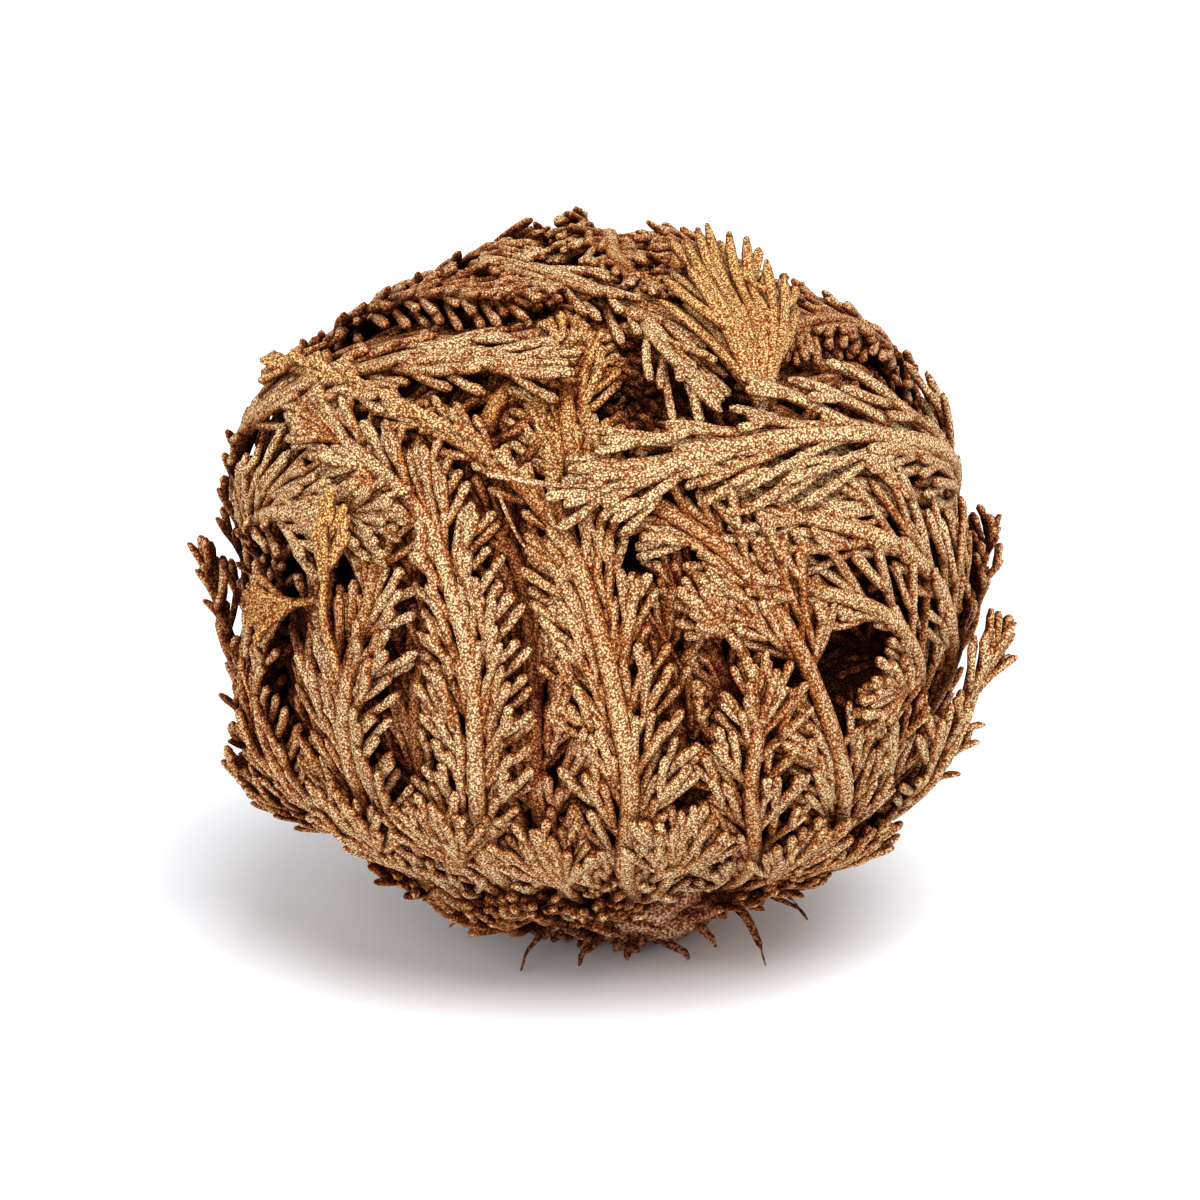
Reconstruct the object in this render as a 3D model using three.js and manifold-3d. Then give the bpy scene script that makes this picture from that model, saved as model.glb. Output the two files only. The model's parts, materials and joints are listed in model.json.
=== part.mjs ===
// Rose of Jericho (a resurrection spikemoss), dry and rolled up into a ball.
//
// A knobbly rootstock stands on the ground. Scaly, fern-like fronds grow out of it all round, run up
// the outside of the ball and curl over its top, crossing each other in layers. Rolled young fronds
// fill the middle as one dense heart.
//
// Millimetres, +Z up. The origin is the centre of the flat spot under the rootstock that the plant
// rests on, and the front of the plant faces -Y.
//
// The ball is a rounded-square surface round its own centre. Everything on it is placed by bearing:
// an azimuth (0 faces the front, 90 the right, 180 the back) and an elevation, both in degrees and
// seen from the centre of the ball, and by a depth in millimetres under the ball's surface.

import * as THREE from "three";
import { mergeVertices } from "three/addons/utils/BufferGeometryUtils.js";
import Module from "manifold-3d";

const wasm = await Module();
wasm.setup();

const { degToRad, lerp, smoothstep } = THREE.MathUtils;

// ---- Driving dimensions ------------------------------------------------------------------------

const BALL = {
  centre: new THREE.Vector3(-4, 0, 46.5),
  halfWidth: 44.5,
  halfDepth: 43,
  halfHeight: 39.5,
  squareness: 2.35, // 2 is an ellipsoid, and more is boxier
};

// Low swellings (+) and hollows (-) of the ball's surface. spread is in degrees.
const SWELLS = [
  { azimuth: 84, elevation: 40, height: 2.0, spread: 18 }, // right shoulder
  { azimuth: -88, elevation: 38, height: 2.4, spread: 18 }, // left shoulder
  { azimuth: 60, elevation: 66, height: -3.2, spread: 14 }, // saddle beside the top fan
  { azimuth: 30, elevation: 78, height: 1.6, spread: 16 }, // crest of the top fan
  { azimuth: -78, elevation: 2, height: -2.6, spread: 12 }, // waist on the left
  { azimuth: 70, elevation: -38, height: 1.6, spread: 22 }, // full lower right
  { azimuth: -78, elevation: -26, height: 3.4, spread: 20 }, // full lower left
];

// Depths of the layers of fronds. Two fronds can cross where their depths differ by a layer.
const OVER = -1.5;
const OUTER = 1.3;
const MIDDLE = 4.1;
const BURIED = 8.5; // inside the heart
const LAYER = 2.45;

const STEM = { width: 2.6, tipWidth: 1.6, thickness: 2.0, bare: 11 };
const LOBE = {
  pitch: 4.4,
  angle: 34, // to the stem, in degrees
  bend: 6, // degrees in 10 mm, towards the tip of the frond
  droop: 0.9,
  tipWidth: 0.9,
  room: 1.6, // kept free on both sides of the line midway to the next stem
  gap: 0.45, // between the tips of lobes where a stem bends
  curl: 0.8, // least share of a lobe's spread that it keeps where its own stem curls towards it
  taper: 0.5, // how much shorter the lobes are at the tip of a frond
  shortest: 4.5,
  step: 2, // of the path along a lobe
};
const RIDGE = 0.5; // width of a stem's raised face, as a share of its full width
const CLEARANCE = 0.5; // between fronds that lie in one layer
const RISE = [0.3, 0.75]; // where along a frond its depth changes

const CROWN = { segments: 24, footRadius: 9.5, footHeight: 12 };
// Knobs round the rootstock: two waves, each with its own count and twist.
const KNOBS = { size: 0.07, around: [5, 8], twist: [0.5, -0.9], fade: 4 };
// Radius and height of the rootstock's outline, from its flat underside up.
const CROWN_OUTLINE = [
  [0, 0], [8, 0], [10.5, 1.2], [14.6, 3.4], [18.6, 6.4],
  [20, 9.4], [17.6, 13], [12.4, 16], [6.6, 18], [0, 19],
];
const ROOTLET = { sides: 5, radius: 0.8, steps: 4, buried: 4, crook: 0.7 };

const HEART = {
  columns: 60,
  rows: 26,
  depth: 5.9,
  coils: 12,
  twist: 0.6,
  relief: 2.6,
  ribs: 12,
  ribRelief: 0.35, // share of the relief that the ribs take up
};
const SEAT = 0.3; // gap between a frond and what it grows out of
const WELD = 1e-3; // corners closer than this are one corner
const SPINE_PITCH = 2; // of the stations that a frond is kept clear of
const EYE = [6, 52]; // bearing of the eye that the young fronds in the heart coil into

// Deep gaps between the fronds, where the heart falls back.
const GAPS = [
  { azimuth: 6, elevation: 47, height: -7, spread: 15 },
  { azimuth: 13, elevation: 16, height: -5, spread: 11 },
  { azimuth: 38, elevation: -6, height: -7, spread: 12 },
  { azimuth: -55, elevation: 8, height: -5, spread: 11 },
];

const TAN = new THREE.MeshStandardMaterial({ color: 0xb98a58, roughness: 0.85, metalness: 0 });
const AMBER = new THREE.MeshStandardMaterial({ color: 0xc79a55, roughness: 0.8, metalness: 0 });
const BROWN = new THREE.MeshStandardMaterial({ color: 0x9a6a42, roughness: 0.88, metalness: 0 });
const ROOT = new THREE.MeshStandardMaterial({ color: 0x5f3d2a, roughness: 0.92, metalness: 0 });
const DARK = new THREE.MeshStandardMaterial({ color: 0x4a2a1a, roughness: 0.9, metalness: 0 });

// Each frond's look, how far its lobes reach, its depth at its foot and at its tip, and the bearings
// [azimuth, elevation] that its stem passes. A frond starts at the rootstock, or at the first of its
// bearings if its foot is buried in the heart.
const FRONDS = {
  front_frond_1: { look: TAN, reach: 12, depth: [OUTER, OUTER],
    way: [[-22, -40], [-21, -15], [-21, -1], [-23, 11], [-28, 22], [-37, 30], [-50, 34]] },
  front_frond_2: { look: TAN, reach: 12, depth: [OUTER, OUTER],
    way: [[-41, -40], [-43, -20], [-42, -4], [-40, 8], [-42, 18], [-48, 26], [-57, 31]] },
  front_frond_3: { look: BROWN, reach: 12, depth: [MIDDLE, MIDDLE],
    way: [[-9, -38], [-11, -18], [-11, -6], [-12, 6], [-14, 17], [-22, 25], [-32, 29]] },
  front_frond_4: { look: TAN, reach: 11, depth: [OUTER, OVER],
    way: [[5, -38], [5, -20], [3, -7], [0, 7], [-6, 22], [-18, 32], [-36, 37], [-58, 39], [-82, 36]] },
  front_frond_5: { look: TAN, reach: 12, depth: [MIDDLE, MIDDLE],
    way: [[20, -38], [16, -20], [12, -8], [11, 3]] },
  front_frond_6: { look: TAN, reach: 12, depth: [OUTER, OUTER],
    way: [[32, -40], [28, -30], [25, -20], [25, -9]] },
  front_frond_7: { look: TAN, reach: 13, depth: [OUTER, OUTER],
    way: [[52, -42], [45, -26], [37, -10], [30, 5], [20, 19], [7, 28]] },
  front_frond_8: { look: BROWN, reach: 11, depth: [MIDDLE, MIDDLE],
    way: [[36, -40], [31, -26], [25, -12], [20, 0], [15, 10]] },
  front_frond_9: { look: AMBER, reach: 14, depth: [BURIED, MIDDLE], rise: [0, 0.35],
    way: [[1, 12], [-2, 24], [-5, 35], [-8, 45], [-10, 56]] },
  front_frond_10: { look: BROWN, reach: 11, depth: [MIDDLE, MIDDLE],
    way: [[-31, -40], [-32, -22], [-31, -6], [-29, 6], [-32, 15]] },

  right_frond_1: { look: TAN, reach: 12, depth: [MIDDLE, OUTER],
    way: [[60, -46], [58, -34], [54, -22], [51, -13]] },
  right_frond_2: { look: TAN, reach: 13, depth: [OUTER, -2], rise: [0.5, 1],
    way: [[73, -45], [70, -31], [67, -19], [69, -8], [76, 1]] },
  right_frond_3: { look: TAN, reach: 18, depth: [MIDDLE, MIDDLE],
    way: [[85, -44], [79, -26], [71, -8], [62, 5], [50, 15], [33, 22]] },
  right_frond_4: { look: TAN, reach: 14, depth: [OUTER, OUTER],
    way: [[88, -42], [86, -22], [84, -4], [76, 11], [62, 19], [46, 25], [30, 29]] },
  right_frond_5: { look: TAN, reach: 14, depth: [OUTER, OVER],
    way: [[107, -40], [104, -16], [98, 6], [86, 21], [66, 32], [43, 37], [22, 37], [6, 33]] },
  right_frond_6: { look: BROWN, reach: 14, depth: [MIDDLE, OUTER],
    way: [[122, -40], [116, -10], [110, 14], [100, 33], [88, 44], [72, 51], [56, 52]] },
  right_frond_7: { look: BROWN, reach: 11, depth: [MIDDLE, -3], rise: [0.7, 1],
    way: [[97, -42], [95, -22], [93, -8], [93, 6]] },
  right_frond_8: { look: TAN, reach: 14, depth: [MIDDLE, MIDDLE],
    way: [[72, -44], [68, -28], [62, -12], [54, 0], [44, 7], [34, 11]] },
  right_frond_9: { look: BROWN, reach: 13, depth: [MIDDLE, MIDDLE],
    way: [[109, -40], [106, -18], [104, 2], [100, 18], [92, 30]] },
  right_frond_10: { look: TAN, reach: 13, depth: [BURIED, MIDDLE], rise: [0, 0.35],
    way: [[89, 11], [80, 19], [68, 25], [54, 28], [40, 30]] },

  left_frond_1: { look: TAN, reach: 12, depth: [OUTER, OUTER],
    way: [[-62, -42], [-63, -28], [-65, -14], [-64, -4]] },
  left_frond_2: { look: BROWN, reach: 12, depth: [MIDDLE, MIDDLE],
    way: [[-52, -38], [-53, -22], [-54, -8], [-52, 2]] },
  left_frond_3: { look: TAN, reach: 15, depth: [MIDDLE, MIDDLE],
    way: [[-86, -40], [-84, -20], [-82, -2], [-72, 12], [-56, 18], [-42, 21]] },
  left_frond_4: { look: BROWN, reach: 11, depth: [OUTER, -2], rise: [0.5, 1],
    way: [[-82, -42], [-82, -26], [-85, -12], [-91, 2]] },
  left_frond_5: { look: TAN, reach: 14, depth: [OUTER, OUTER],
    way: [[-104, -38], [-102, -10], [-94, 14], [-78, 30], [-58, 42], [-38, 48], [-22, 50]] },
  left_frond_6: { look: BROWN, reach: 14, depth: [MIDDLE, MIDDLE],
    way: [[-118, -38], [-114, -8], [-106, 20], [-90, 38], [-66, 52], [-38, 58]] },
  left_frond_7: { look: BROWN, reach: 14, depth: [OUTER, OUTER],
    way: [[-122, -36], [-120, -4], [-114, 26], [-98, 46], [-72, 61], [-46, 66]] },
  left_frond_8: { look: BROWN, reach: 12, depth: [MIDDLE, MIDDLE],
    way: [[-69, -40], [-70, -22], [-69, -8], [-66, 4]] },
  left_frond_9: { look: TAN, reach: 13, depth: [BURIED, MIDDLE], rise: [0, 0.35],
    way: [[-84, 14], [-75, 25], [-62, 32], [-46, 36]] },

  top_frond_1: { look: AMBER, reach: 18, depth: [BURIED, OVER], rise: [0, 0.8], bare: 8,
    way: [[31, 14], [30, 28], [30, 42], [31, 56], [34, 70]] },
  top_frond_2: { look: AMBER, reach: 14, depth: [BURIED, MIDDLE], rise: [0, 0.35],
    way: [[-27, 28], [-25, 41], [-21, 53], [-10, 62], [8, 66]] },
  top_frond_3: { look: BROWN, reach: 13, depth: [BURIED, MIDDLE], rise: [0, 0.35],
    way: [[88, 34], [68, 42], [52, 50], [45, 61]] },
  top_frond_4: { look: TAN, reach: 15, depth: [OUTER, OUTER],
    way: [[-146, -34], [-142, 0], [-138, 30], [-128, 54], [-96, 72], [-24, 77], [12, 67], [20, 54]] },

  back_frond_1: { look: TAN, reach: 14, depth: [OUTER, OUTER],
    way: [[136, -38], [129, -13], [126, 13], [117, 38], [104, 56], [84, 66]] },
  back_frond_2: { look: BROWN, reach: 14, depth: [MIDDLE, MIDDLE],
    way: [[148, -38], [145, -12], [139, 14], [134, 38], [121, 58], [92, 74], [59, 76]] },
  back_frond_3: { look: TAN, reach: 15, depth: [OUTER, OUTER],
    way: [[162, -38], [157, -13], [155, 12], [147, 38], [137, 60], [116, 74], [75, 76]] },
  back_frond_4: { look: BROWN, reach: 14, depth: [MIDDLE, MIDDLE],
    way: [[176, -38], [173, -12], [167, 14], [165, 38], [158, 60], [140, 80], [50, 85], [9, 78]] },
  back_frond_5: { look: BROWN, reach: 14, depth: [MIDDLE, MIDDLE],
    way: [[-154, -38], [-156, -12], [-158, 14], [-158, 38], [-154, 60], [-132, 76], [-66, 82], [-20, 80]] },
  back_frond_6: { look: TAN, reach: 15, depth: [OUTER, OUTER],
    way: [[-170, -38], [-171, -12], [-175, 14], [-175, 38], [178, 58], [173, 76], [90, 87], [38, 79]] },
  back_frond_7: { look: BROWN, reach: 14, depth: [MIDDLE, MIDDLE],
    way: [[-134, -38], [-132, -10], [-130, 20], [-122, 46], [-96, 64], [-74, 73], [-31, 73]] },
};

// Stubs of wiry rootlets under the rootstock: bearing, distance from the axis and height where each
// comes out and where it ends. Those that end lower than their radius stand on the ground.
const ROOTLETS = [
  { from: [-60, 18.4, 6.8], to: [-62, 25, 4.6] },
  { from: [-38, 16.6, 5], to: [-41, 20.5, 0.2] },
  { from: [-17, 15, 3.8], to: [-21, 18, 1.7] },
  { from: [0, 11.6, 2.4], to: [-3, 14.6, 1.5] },
  { from: [20, 12, 2.4], to: [25, 15.6, 1.5] },
  { from: [36, 17, 5.4], to: [37, 19.6, 2.8] },
  { from: [50, 17.6, 5.8], to: [49, 21, 0.2] },
  { from: [68, 18.4, 6.6], to: [70, 22.4, 4] },
  { from: [98, 16.6, 5], to: [94, 20.4, 2] },
  { from: [134, 16.6, 5], to: [137, 20.5, 0.2] },
  { from: [168, 17, 5.4], to: [162, 21, 2.4] },
  { from: [-138, 16.6, 5], to: [-135, 20.5, 0.2] },
  { from: [-102, 17, 5.4], to: [-108, 21.4, 2.4] },
];

// ---- Solids ------------------------------------------------------------------------------------

// A geometry's surface as a solid: corners merged, and triangles with no area left out.
function solid(geometry) {
  const bare = new THREE.BufferGeometry();
  bare.setAttribute("position", geometry.getAttribute("position"));
  bare.setIndex(geometry.getIndex());
  const merged = mergeVertices(bare, WELD);
  const corners = merged.getIndex().array;
  const triVerts = [];
  for (let i = 0; i < corners.length; i += 3) {
    const [a, b, c] = corners.slice(i, i + 3);
    if (a !== b && b !== c && c !== a) triVerts.push(a, b, c);
  }
  return new wasm.Manifold(
    new wasm.Mesh({
      numProp: 3,
      vertProperties: Float32Array.from(merged.getAttribute("position").array),
      triVerts: Uint32Array.from(triVerts),
    }),
  );
}

// The largest body of a solid, as a mesh.
function meshOf(name, shape, material) {
  const bodies = shape.decompose();
  const largest = bodies.reduce((a, b) => (b.volume() > a.volume() ? b : a));
  const { vertProperties, triVerts } = largest.getMesh();
  const indexed = new THREE.BufferGeometry();
  indexed.setAttribute("position", new THREE.BufferAttribute(vertProperties, 3));
  indexed.setIndex(new THREE.BufferAttribute(triVerts, 1));
  const geometry = indexed.toNonIndexed();
  geometry.computeVertexNormals();
  const mesh = new THREE.Mesh(geometry, material);
  mesh.name = name;
  return mesh;
}

// Moves every corner of a geometry to where place() puts it.
function reshape(geometry, place) {
  const position = geometry.getAttribute("position");
  const at = new THREE.Vector3();
  for (let i = 0; i < position.count; i++) {
    at.fromBufferAttribute(position, i);
    place(at);
    position.setXYZ(i, at.x, at.y, at.z);
  }
  return geometry;
}

// A closed skin built ring by ring. A ring has four corners: low left, low right, high right and
// high left, as seen from behind, looking the way that the stem or lobe runs.
class Skin {
  corners = [];
  faces = [];

  corner(at) {
    this.corners.push(at.x, at.y, at.z);
    return this.corners.length / 3 - 1;
  }

  quad(a, b, c, d) {
    this.faces.push(a, b, c, a, c, d);
  }

  ring({ centre, across, up }, width, thickness) {
    const at = (x, z) =>
      this.corner(centre.clone().addScaledVector(across, x).addScaledVector(up, z));
    const low = width / 2;
    const high = low * RIDGE;
    const half = thickness / 2;
    return [at(-low, -half), at(low, -half), at(high, half), at(-high, half)];
  }

  // The chisel edge that a stem or lobe ends in: its left corner twice and its right one twice.
  edge({ centre, across }, width) {
    const left = this.corner(centre.clone().addScaledVector(across, -width / 2));
    const right = this.corner(centre.clone().addScaledVector(across, width / 2));
    return [left, right, right, left];
  }

  // The faces between two rings. Side 0 is the underside, 1 the right, 2 the top, 3 the left. The
  // underside and the top are split along like diagonals, so that they don't meet where they twist.
  join(from, to, sides = [0, 1, 2, 3]) {
    for (const i of sides) {
      const j = (i + 1) % 4;
      if (to[i] === to[j]) this.faces.push(from[j], from[i], to[i]);
      else if (i === 2) this.quad(from[i], to[i], to[j], from[j]);
      else this.quad(from[j], from[i], to[i], to[j]);
    }
  }

  geometry() {
    const made = new THREE.BufferGeometry();
    made.setAttribute("position", new THREE.Float32BufferAttribute(this.corners, 3));
    made.setIndex(this.faces);
    return made;
  }
}

// ---- The ball's surface ------------------------------------------------------------------------

function bearing(azimuth, elevation) {
  const level = Math.cos(degToRad(elevation));
  return new THREE.Vector3(
    level * Math.sin(degToRad(azimuth)),
    -level * Math.cos(degToRad(azimuth)),
    Math.sin(degToRad(elevation)),
  );
}

// Sum of round bumps, each a bell curve of the angle from its own bearing.
function bumps(list, direction) {
  let sum = 0;
  for (const bump of list) {
    bump.direction ??= bearing(bump.azimuth, bump.elevation);
    const angle = direction.angleTo(bump.direction) / degToRad(bump.spread);
    sum += bump.height * Math.exp(-(angle ** 2));
  }
  return sum;
}

function ballRadius(direction) {
  const n = BALL.squareness;
  const sum =
    Math.abs(direction.x / BALL.halfWidth) ** n +
    Math.abs(direction.y / BALL.halfDepth) ** n +
    Math.abs(direction.z / BALL.halfHeight) ** n;
  return sum ** (-1 / n) + bumps(SWELLS, direction);
}

function onBall(direction, depth) {
  return direction.clone().multiplyScalar(ballRadius(direction) - depth).add(BALL.centre);
}

// The part of a vector that lies along the surface, at unit length.
function flatten(vector, direction) {
  return vector.addScaledVector(direction, -vector.dot(direction)).normalize();
}

// ---- Stems -------------------------------------------------------------------------------------

// A stem starts inside the rootstock, at the azimuth that it heads for.
function footDirection(azimuth) {
  const foot = bearing(azimuth, 0).multiplyScalar(CROWN.footRadius);
  foot.z = CROWN.footHeight;
  return foot.sub(BALL.centre).normalize();
}

function station(frond, direction, heading, along) {
  const [from, to] = frond.rise ?? RISE;
  return {
    direction,
    heading,
    right: heading.clone().cross(direction),
    along,
    distance: along * frond.length,
    depth: lerp(frond.depth[0], frond.depth[1], smoothstep(along, from, to)),
  };
}

// Evenly spaced stations along a stem, about a pitch apart.
function stations(frond, pitch) {
  const points = frond.way.map((w) => bearing(...w));
  if (frond.depth[0] !== BURIED) points.unshift(footDirection(frond.way[0][0]));
  const curve = new THREE.CatmullRomCurve3(points);
  frond.length = curve.getLength() * BALL.halfDepth;
  const count = Math.round(frond.length / pitch);
  const made = [];
  for (let i = 0; i <= count; i++) {
    const direction = curve.getPointAt(i / count).normalize();
    const heading = flatten(curve.getTangentAt(i / count), direction);
    made.push(station(frond, direction, heading, i / count));
  }
  return made;
}

function midway(frond, a, b) {
  const direction = a.direction.clone().add(b.direction).normalize();
  const heading = flatten(a.heading.clone().add(b.heading), direction);
  return station(frond, direction, heading, (a.along + b.along) / 2);
}

function stemFrame({ direction, right, depth }) {
  return { centre: onBall(direction, depth), across: right, up: direction };
}

// ---- Lobes -------------------------------------------------------------------------------------

// The point a distance out along a lobe that leaves a station sideways (1 right, -1 left). The lobe
// follows the ball, and bends a little towards the tip of the frond.
function alongLobe(from, side, distance) {
  const angle = degToRad(LOBE.angle);
  const direction = from.direction.clone();
  const heading = from.heading.clone().multiplyScalar(Math.cos(angle));
  heading.addScaledVector(from.right, side * Math.sin(angle));
  const bend = degToRad(LOBE.bend) / 10;
  const steps = Math.max(1, Math.round(distance / LOBE.step));
  const stride = distance / steps;
  for (let i = 0; i < steps; i++) {
    direction.addScaledVector(heading, stride / ballRadius(direction)).normalize();
    flatten(heading, direction);
    heading.applyAxisAngle(direction, side * bend * stride);
  }
  return { direction, across: heading.clone().cross(direction) };
}

// Distance from a bearing to the nearest station of some spines in the same layer.
function nearest(spines, direction, depth) {
  let least = Infinity;
  for (const spine of spines)
    for (const other of spine)
      if (Math.abs(other.depth - depth) < LAYER)
        least = Math.min(least, direction.distanceToSquared(other.direction));
  return Math.sqrt(least) * BALL.halfDepth;
}

// How far the lobe between stops i and i + 1 can reach before it meets the lobes beside it, where the
// stem turns towards their side.
function fanReach(stops, i, side) {
  const taper = LOBE.pitch * Math.sin(degToRad(LOBE.angle)) - LOBE.tipWidth - LOBE.gap;
  let reach = Infinity;
  for (let k = Math.max(0, i - 1); k <= Math.min(stops.length - 2, i + 1); k++) {
    const turn = stops[k + 1].heading.clone().cross(stops[k].heading).dot(stops[k].direction);
    if (side * turn > 0) reach = Math.min(reach, taper / Math.abs(turn));
  }
  return reach;
}

// How far a lobe reaches: it stops short of the line midway to the next stem in its layer, and
// where its own stem curls back towards it.
function clearReach(frond, from, side, longest) {
  const wanted = Math.min(longest, frond.reach * (1 - LOBE.taper * from.along ** 3));
  const others = Object.values(FRONDS).filter((f) => f !== frond).map((f) => f.spine);
  let reach = 0;
  for (let next = 1; next <= wanted; next += 1) {
    const { direction } = alongLobe(from, side, next);
    const own = nearest([frond.spine], direction, from.depth);
    const other = nearest(others, direction, from.depth);
    if (other - own < LOBE.room + CLEARANCE) break;
    if (own < LOBE.curl * next * Math.sin(degToRad(LOBE.angle)) - CLEARANCE) break;
    reach = next;
  }
  return reach < LOBE.shortest ? 0 : reach;
}

// A lobe is a tapered blade that grows out of the whole side of the stem between two of its rings.
function addLobe(skin, root, from, side, reach) {
  const { direction, across } = alongLobe(from, side, reach);
  const frame = { centre: onBall(direction, from.depth + LOBE.droop), across };
  skin.join(root, skin.edge(frame, LOBE.tipWidth));
}

// ---- Fronds ------------------------------------------------------------------------------------

function frondGeometry(frond) {
  const skin = new Skin();
  const stops = stations(frond, LOBE.pitch);
  const rings = stops.slice(0, -1).map((stop) => {
    const width = lerp(STEM.width, STEM.tipWidth, stop.along);
    return skin.ring(stemFrame(stop), width, STEM.thickness);
  });
  rings.push(skin.edge(stemFrame(stops.at(-1)), STEM.tipWidth));
  skin.quad(...rings[0]);
  for (let i = 0; i + 1 < rings.length; i++) {
    const [back, front] = [rings[i], rings[i + 1]];
    const roots = {
      1: [front[1], back[1], back[2], front[2]],
      3: [back[0], front[0], front[3], back[3]],
    };
    const bare = [0, 2];
    for (const [face, side] of [[1, 1], [3, -1]]) {
      const from = midway(frond, stops[i], stops[i + 1]);
      const lobed = i + 2 < rings.length && from.distance > (frond.bare ?? STEM.bare);
      const reach = lobed ? clearReach(frond, from, side, fanReach(stops, i, side)) : 0;
      if (reach) addLobe(skin, roots[face], from, side, reach);
      else bare.push(face);
    }
    skin.join(back, front, bare);
  }
  return skin.geometry();
}

// ---- Rootstock ---------------------------------------------------------------------------------

// Knobs of the rootstock, as a share of its radius: they fade out at the flat underside.
function knob(azimuth, height) {
  const wave = (i) => Math.sin(KNOBS.around[i] * azimuth + KNOBS.twist[i] * height + i);
  return KNOBS.size * (wave(0) + wave(1)) * Math.min(1, height / KNOBS.fade);
}

function crownGeometry(grow) {
  const outline = CROWN_OUTLINE.map(([radius, height], i) => {
    const top = i / (CROWN_OUTLINE.length - 1);
    return new THREE.Vector2(radius && radius + grow, height + grow * (2 * top - 1));
  });
  const lathe = new THREE.LatheGeometry(outline, CROWN.segments);
  lathe.rotateX(Math.PI / 2);
  return reshape(lathe, (at) => {
    const share = 1 + knob(Math.atan2(at.y, at.x), at.z);
    at.x *= share;
    at.y *= share;
  });
}

function rootletGeometry({ from, to }) {
  const [azimuth, distance, height] = from;
  const [endAzimuth, endDistance, endHeight] = to;
  const point = (a, r, z) => bearing(a, 0).multiplyScalar(r).setZ(z);
  const path = new THREE.CatmullRomCurve3([
    point(azimuth, distance - ROOTLET.buried, height + ROOTLET.buried / 2),
    point(azimuth, distance, height),
    point(endAzimuth, lerp(distance, endDistance, ROOTLET.crook), lerp(height, endHeight, 0.5)),
    point(endAzimuth, endDistance, endHeight),
  ]);
  const section = new THREE.Shape().absarc(0, 0, ROOTLET.radius, 0, 2 * Math.PI);
  return new THREE.ExtrudeGeometry(section, {
    steps: ROOTLET.steps,
    curveSegments: ROOTLET.sides,
    extrudePath: path,
  });
}

// ---- Heart -------------------------------------------------------------------------------------

// Height of the heart's relief from 0 to 1: young fronds that coil into the eye, with ribs across.
function coils(turn, height) {
  const phase = HEART.coils * (turn + HEART.twist * height);
  const across = Math.abs(Math.sin(phase / 2));
  const rib = 0.5 + 0.5 * Math.cos(HEART.ribs * height + 3 * across);
  return across * (1 - HEART.ribRelief * (1 - rib));
}

function heartGeometry(grow) {
  const sphere = new THREE.SphereGeometry(1, HEART.columns, HEART.rows);
  const tilt = new THREE.Quaternion().setFromUnitVectors(THREE.Object3D.DEFAULT_UP, bearing(...EYE));
  return reshape(sphere, (at) => {
    const relief = coils(Math.atan2(at.x, at.z), Math.asin(at.y));
    const direction = at.clone().normalize().applyQuaternion(tilt);
    const depth = HEART.depth + HEART.relief * (1 - relief) - bumps(GAPS, direction);
    at.copy(onBall(direction, depth - grow));
  });
}

// ---- The plant ---------------------------------------------------------------------------------

const plant = new THREE.Group();
for (const frond of Object.values(FRONDS)) frond.spine = stations(frond, SPINE_PITCH);

const rootstock = ROOTLETS.reduce(
  (whole, rootlet) => whole.add(solid(rootletGeometry(rootlet))),
  solid(crownGeometry(0)),
);
const ground = { normal: [0, 0, 1], height: 0 };
plant.add(meshOf("rootstock", rootstock.trimByPlane(ground.normal, ground.height), ROOT));

const crownSeat = solid(crownGeometry(SEAT));
plant.add(meshOf("heart", solid(heartGeometry(0)).subtract(crownSeat), DARK));

const heartSeat = solid(heartGeometry(SEAT));
for (const [name, frond] of Object.entries(FRONDS)) {
  const seat = frond.depth[0] === BURIED ? heartSeat : crownSeat;
  plant.add(meshOf(name, solid(frondGeometry(frond)).subtract(seat), frond.look));
}

export default plant;
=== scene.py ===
"""Rose of Jericho: a dry, rolled-up spikemoss, dressed over its CAD model.

Every frond of the model is replaced by a finer one that follows the same stem: scaly cords that
branch off the stem and fork into short, blunt branchlets. A finer rootstock and a lining of young
fronds in the heart go with them.

The ball is a rounded-square surface round its own centre. A place on it is given by a bearing (an
azimuth, 0 to the front and 90 to the right, and an elevation, in degrees) and a depth under the
surface. Sizes in the functions below are millimetres, and a finished mesh is in metres.
"""

import json
import math

import bpy
import numpy as np
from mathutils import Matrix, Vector

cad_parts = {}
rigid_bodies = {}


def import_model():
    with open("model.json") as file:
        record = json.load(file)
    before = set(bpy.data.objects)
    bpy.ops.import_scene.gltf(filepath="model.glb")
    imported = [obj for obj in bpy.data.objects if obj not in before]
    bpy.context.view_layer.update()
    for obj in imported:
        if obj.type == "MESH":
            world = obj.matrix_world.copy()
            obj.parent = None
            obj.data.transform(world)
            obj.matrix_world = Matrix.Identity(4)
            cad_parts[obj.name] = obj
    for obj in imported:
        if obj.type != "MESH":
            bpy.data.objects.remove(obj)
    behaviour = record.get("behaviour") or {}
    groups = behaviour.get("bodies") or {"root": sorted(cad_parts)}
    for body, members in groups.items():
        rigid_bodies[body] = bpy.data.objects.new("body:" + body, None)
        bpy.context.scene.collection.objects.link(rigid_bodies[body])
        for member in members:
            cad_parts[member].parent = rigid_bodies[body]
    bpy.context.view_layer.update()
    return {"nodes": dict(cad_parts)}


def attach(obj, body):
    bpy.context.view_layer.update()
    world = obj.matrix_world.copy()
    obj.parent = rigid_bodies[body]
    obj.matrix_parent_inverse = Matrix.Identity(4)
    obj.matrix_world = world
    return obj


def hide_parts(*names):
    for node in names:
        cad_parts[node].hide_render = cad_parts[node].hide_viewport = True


bl_info = {
    "name": "Rose of Jericho",
    "version": (1, 0, 0),
    "blender": (4, 5, 0),
    "location": "3D View > Sidebar > Rose",
    "description": "Models a dry, rolled-up spikemoss over its CAD frame",
    "category": "Add Mesh",
}

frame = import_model()

MM = 0.001

# ---- The ball ------------------------------------------------------------------------------------

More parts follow.
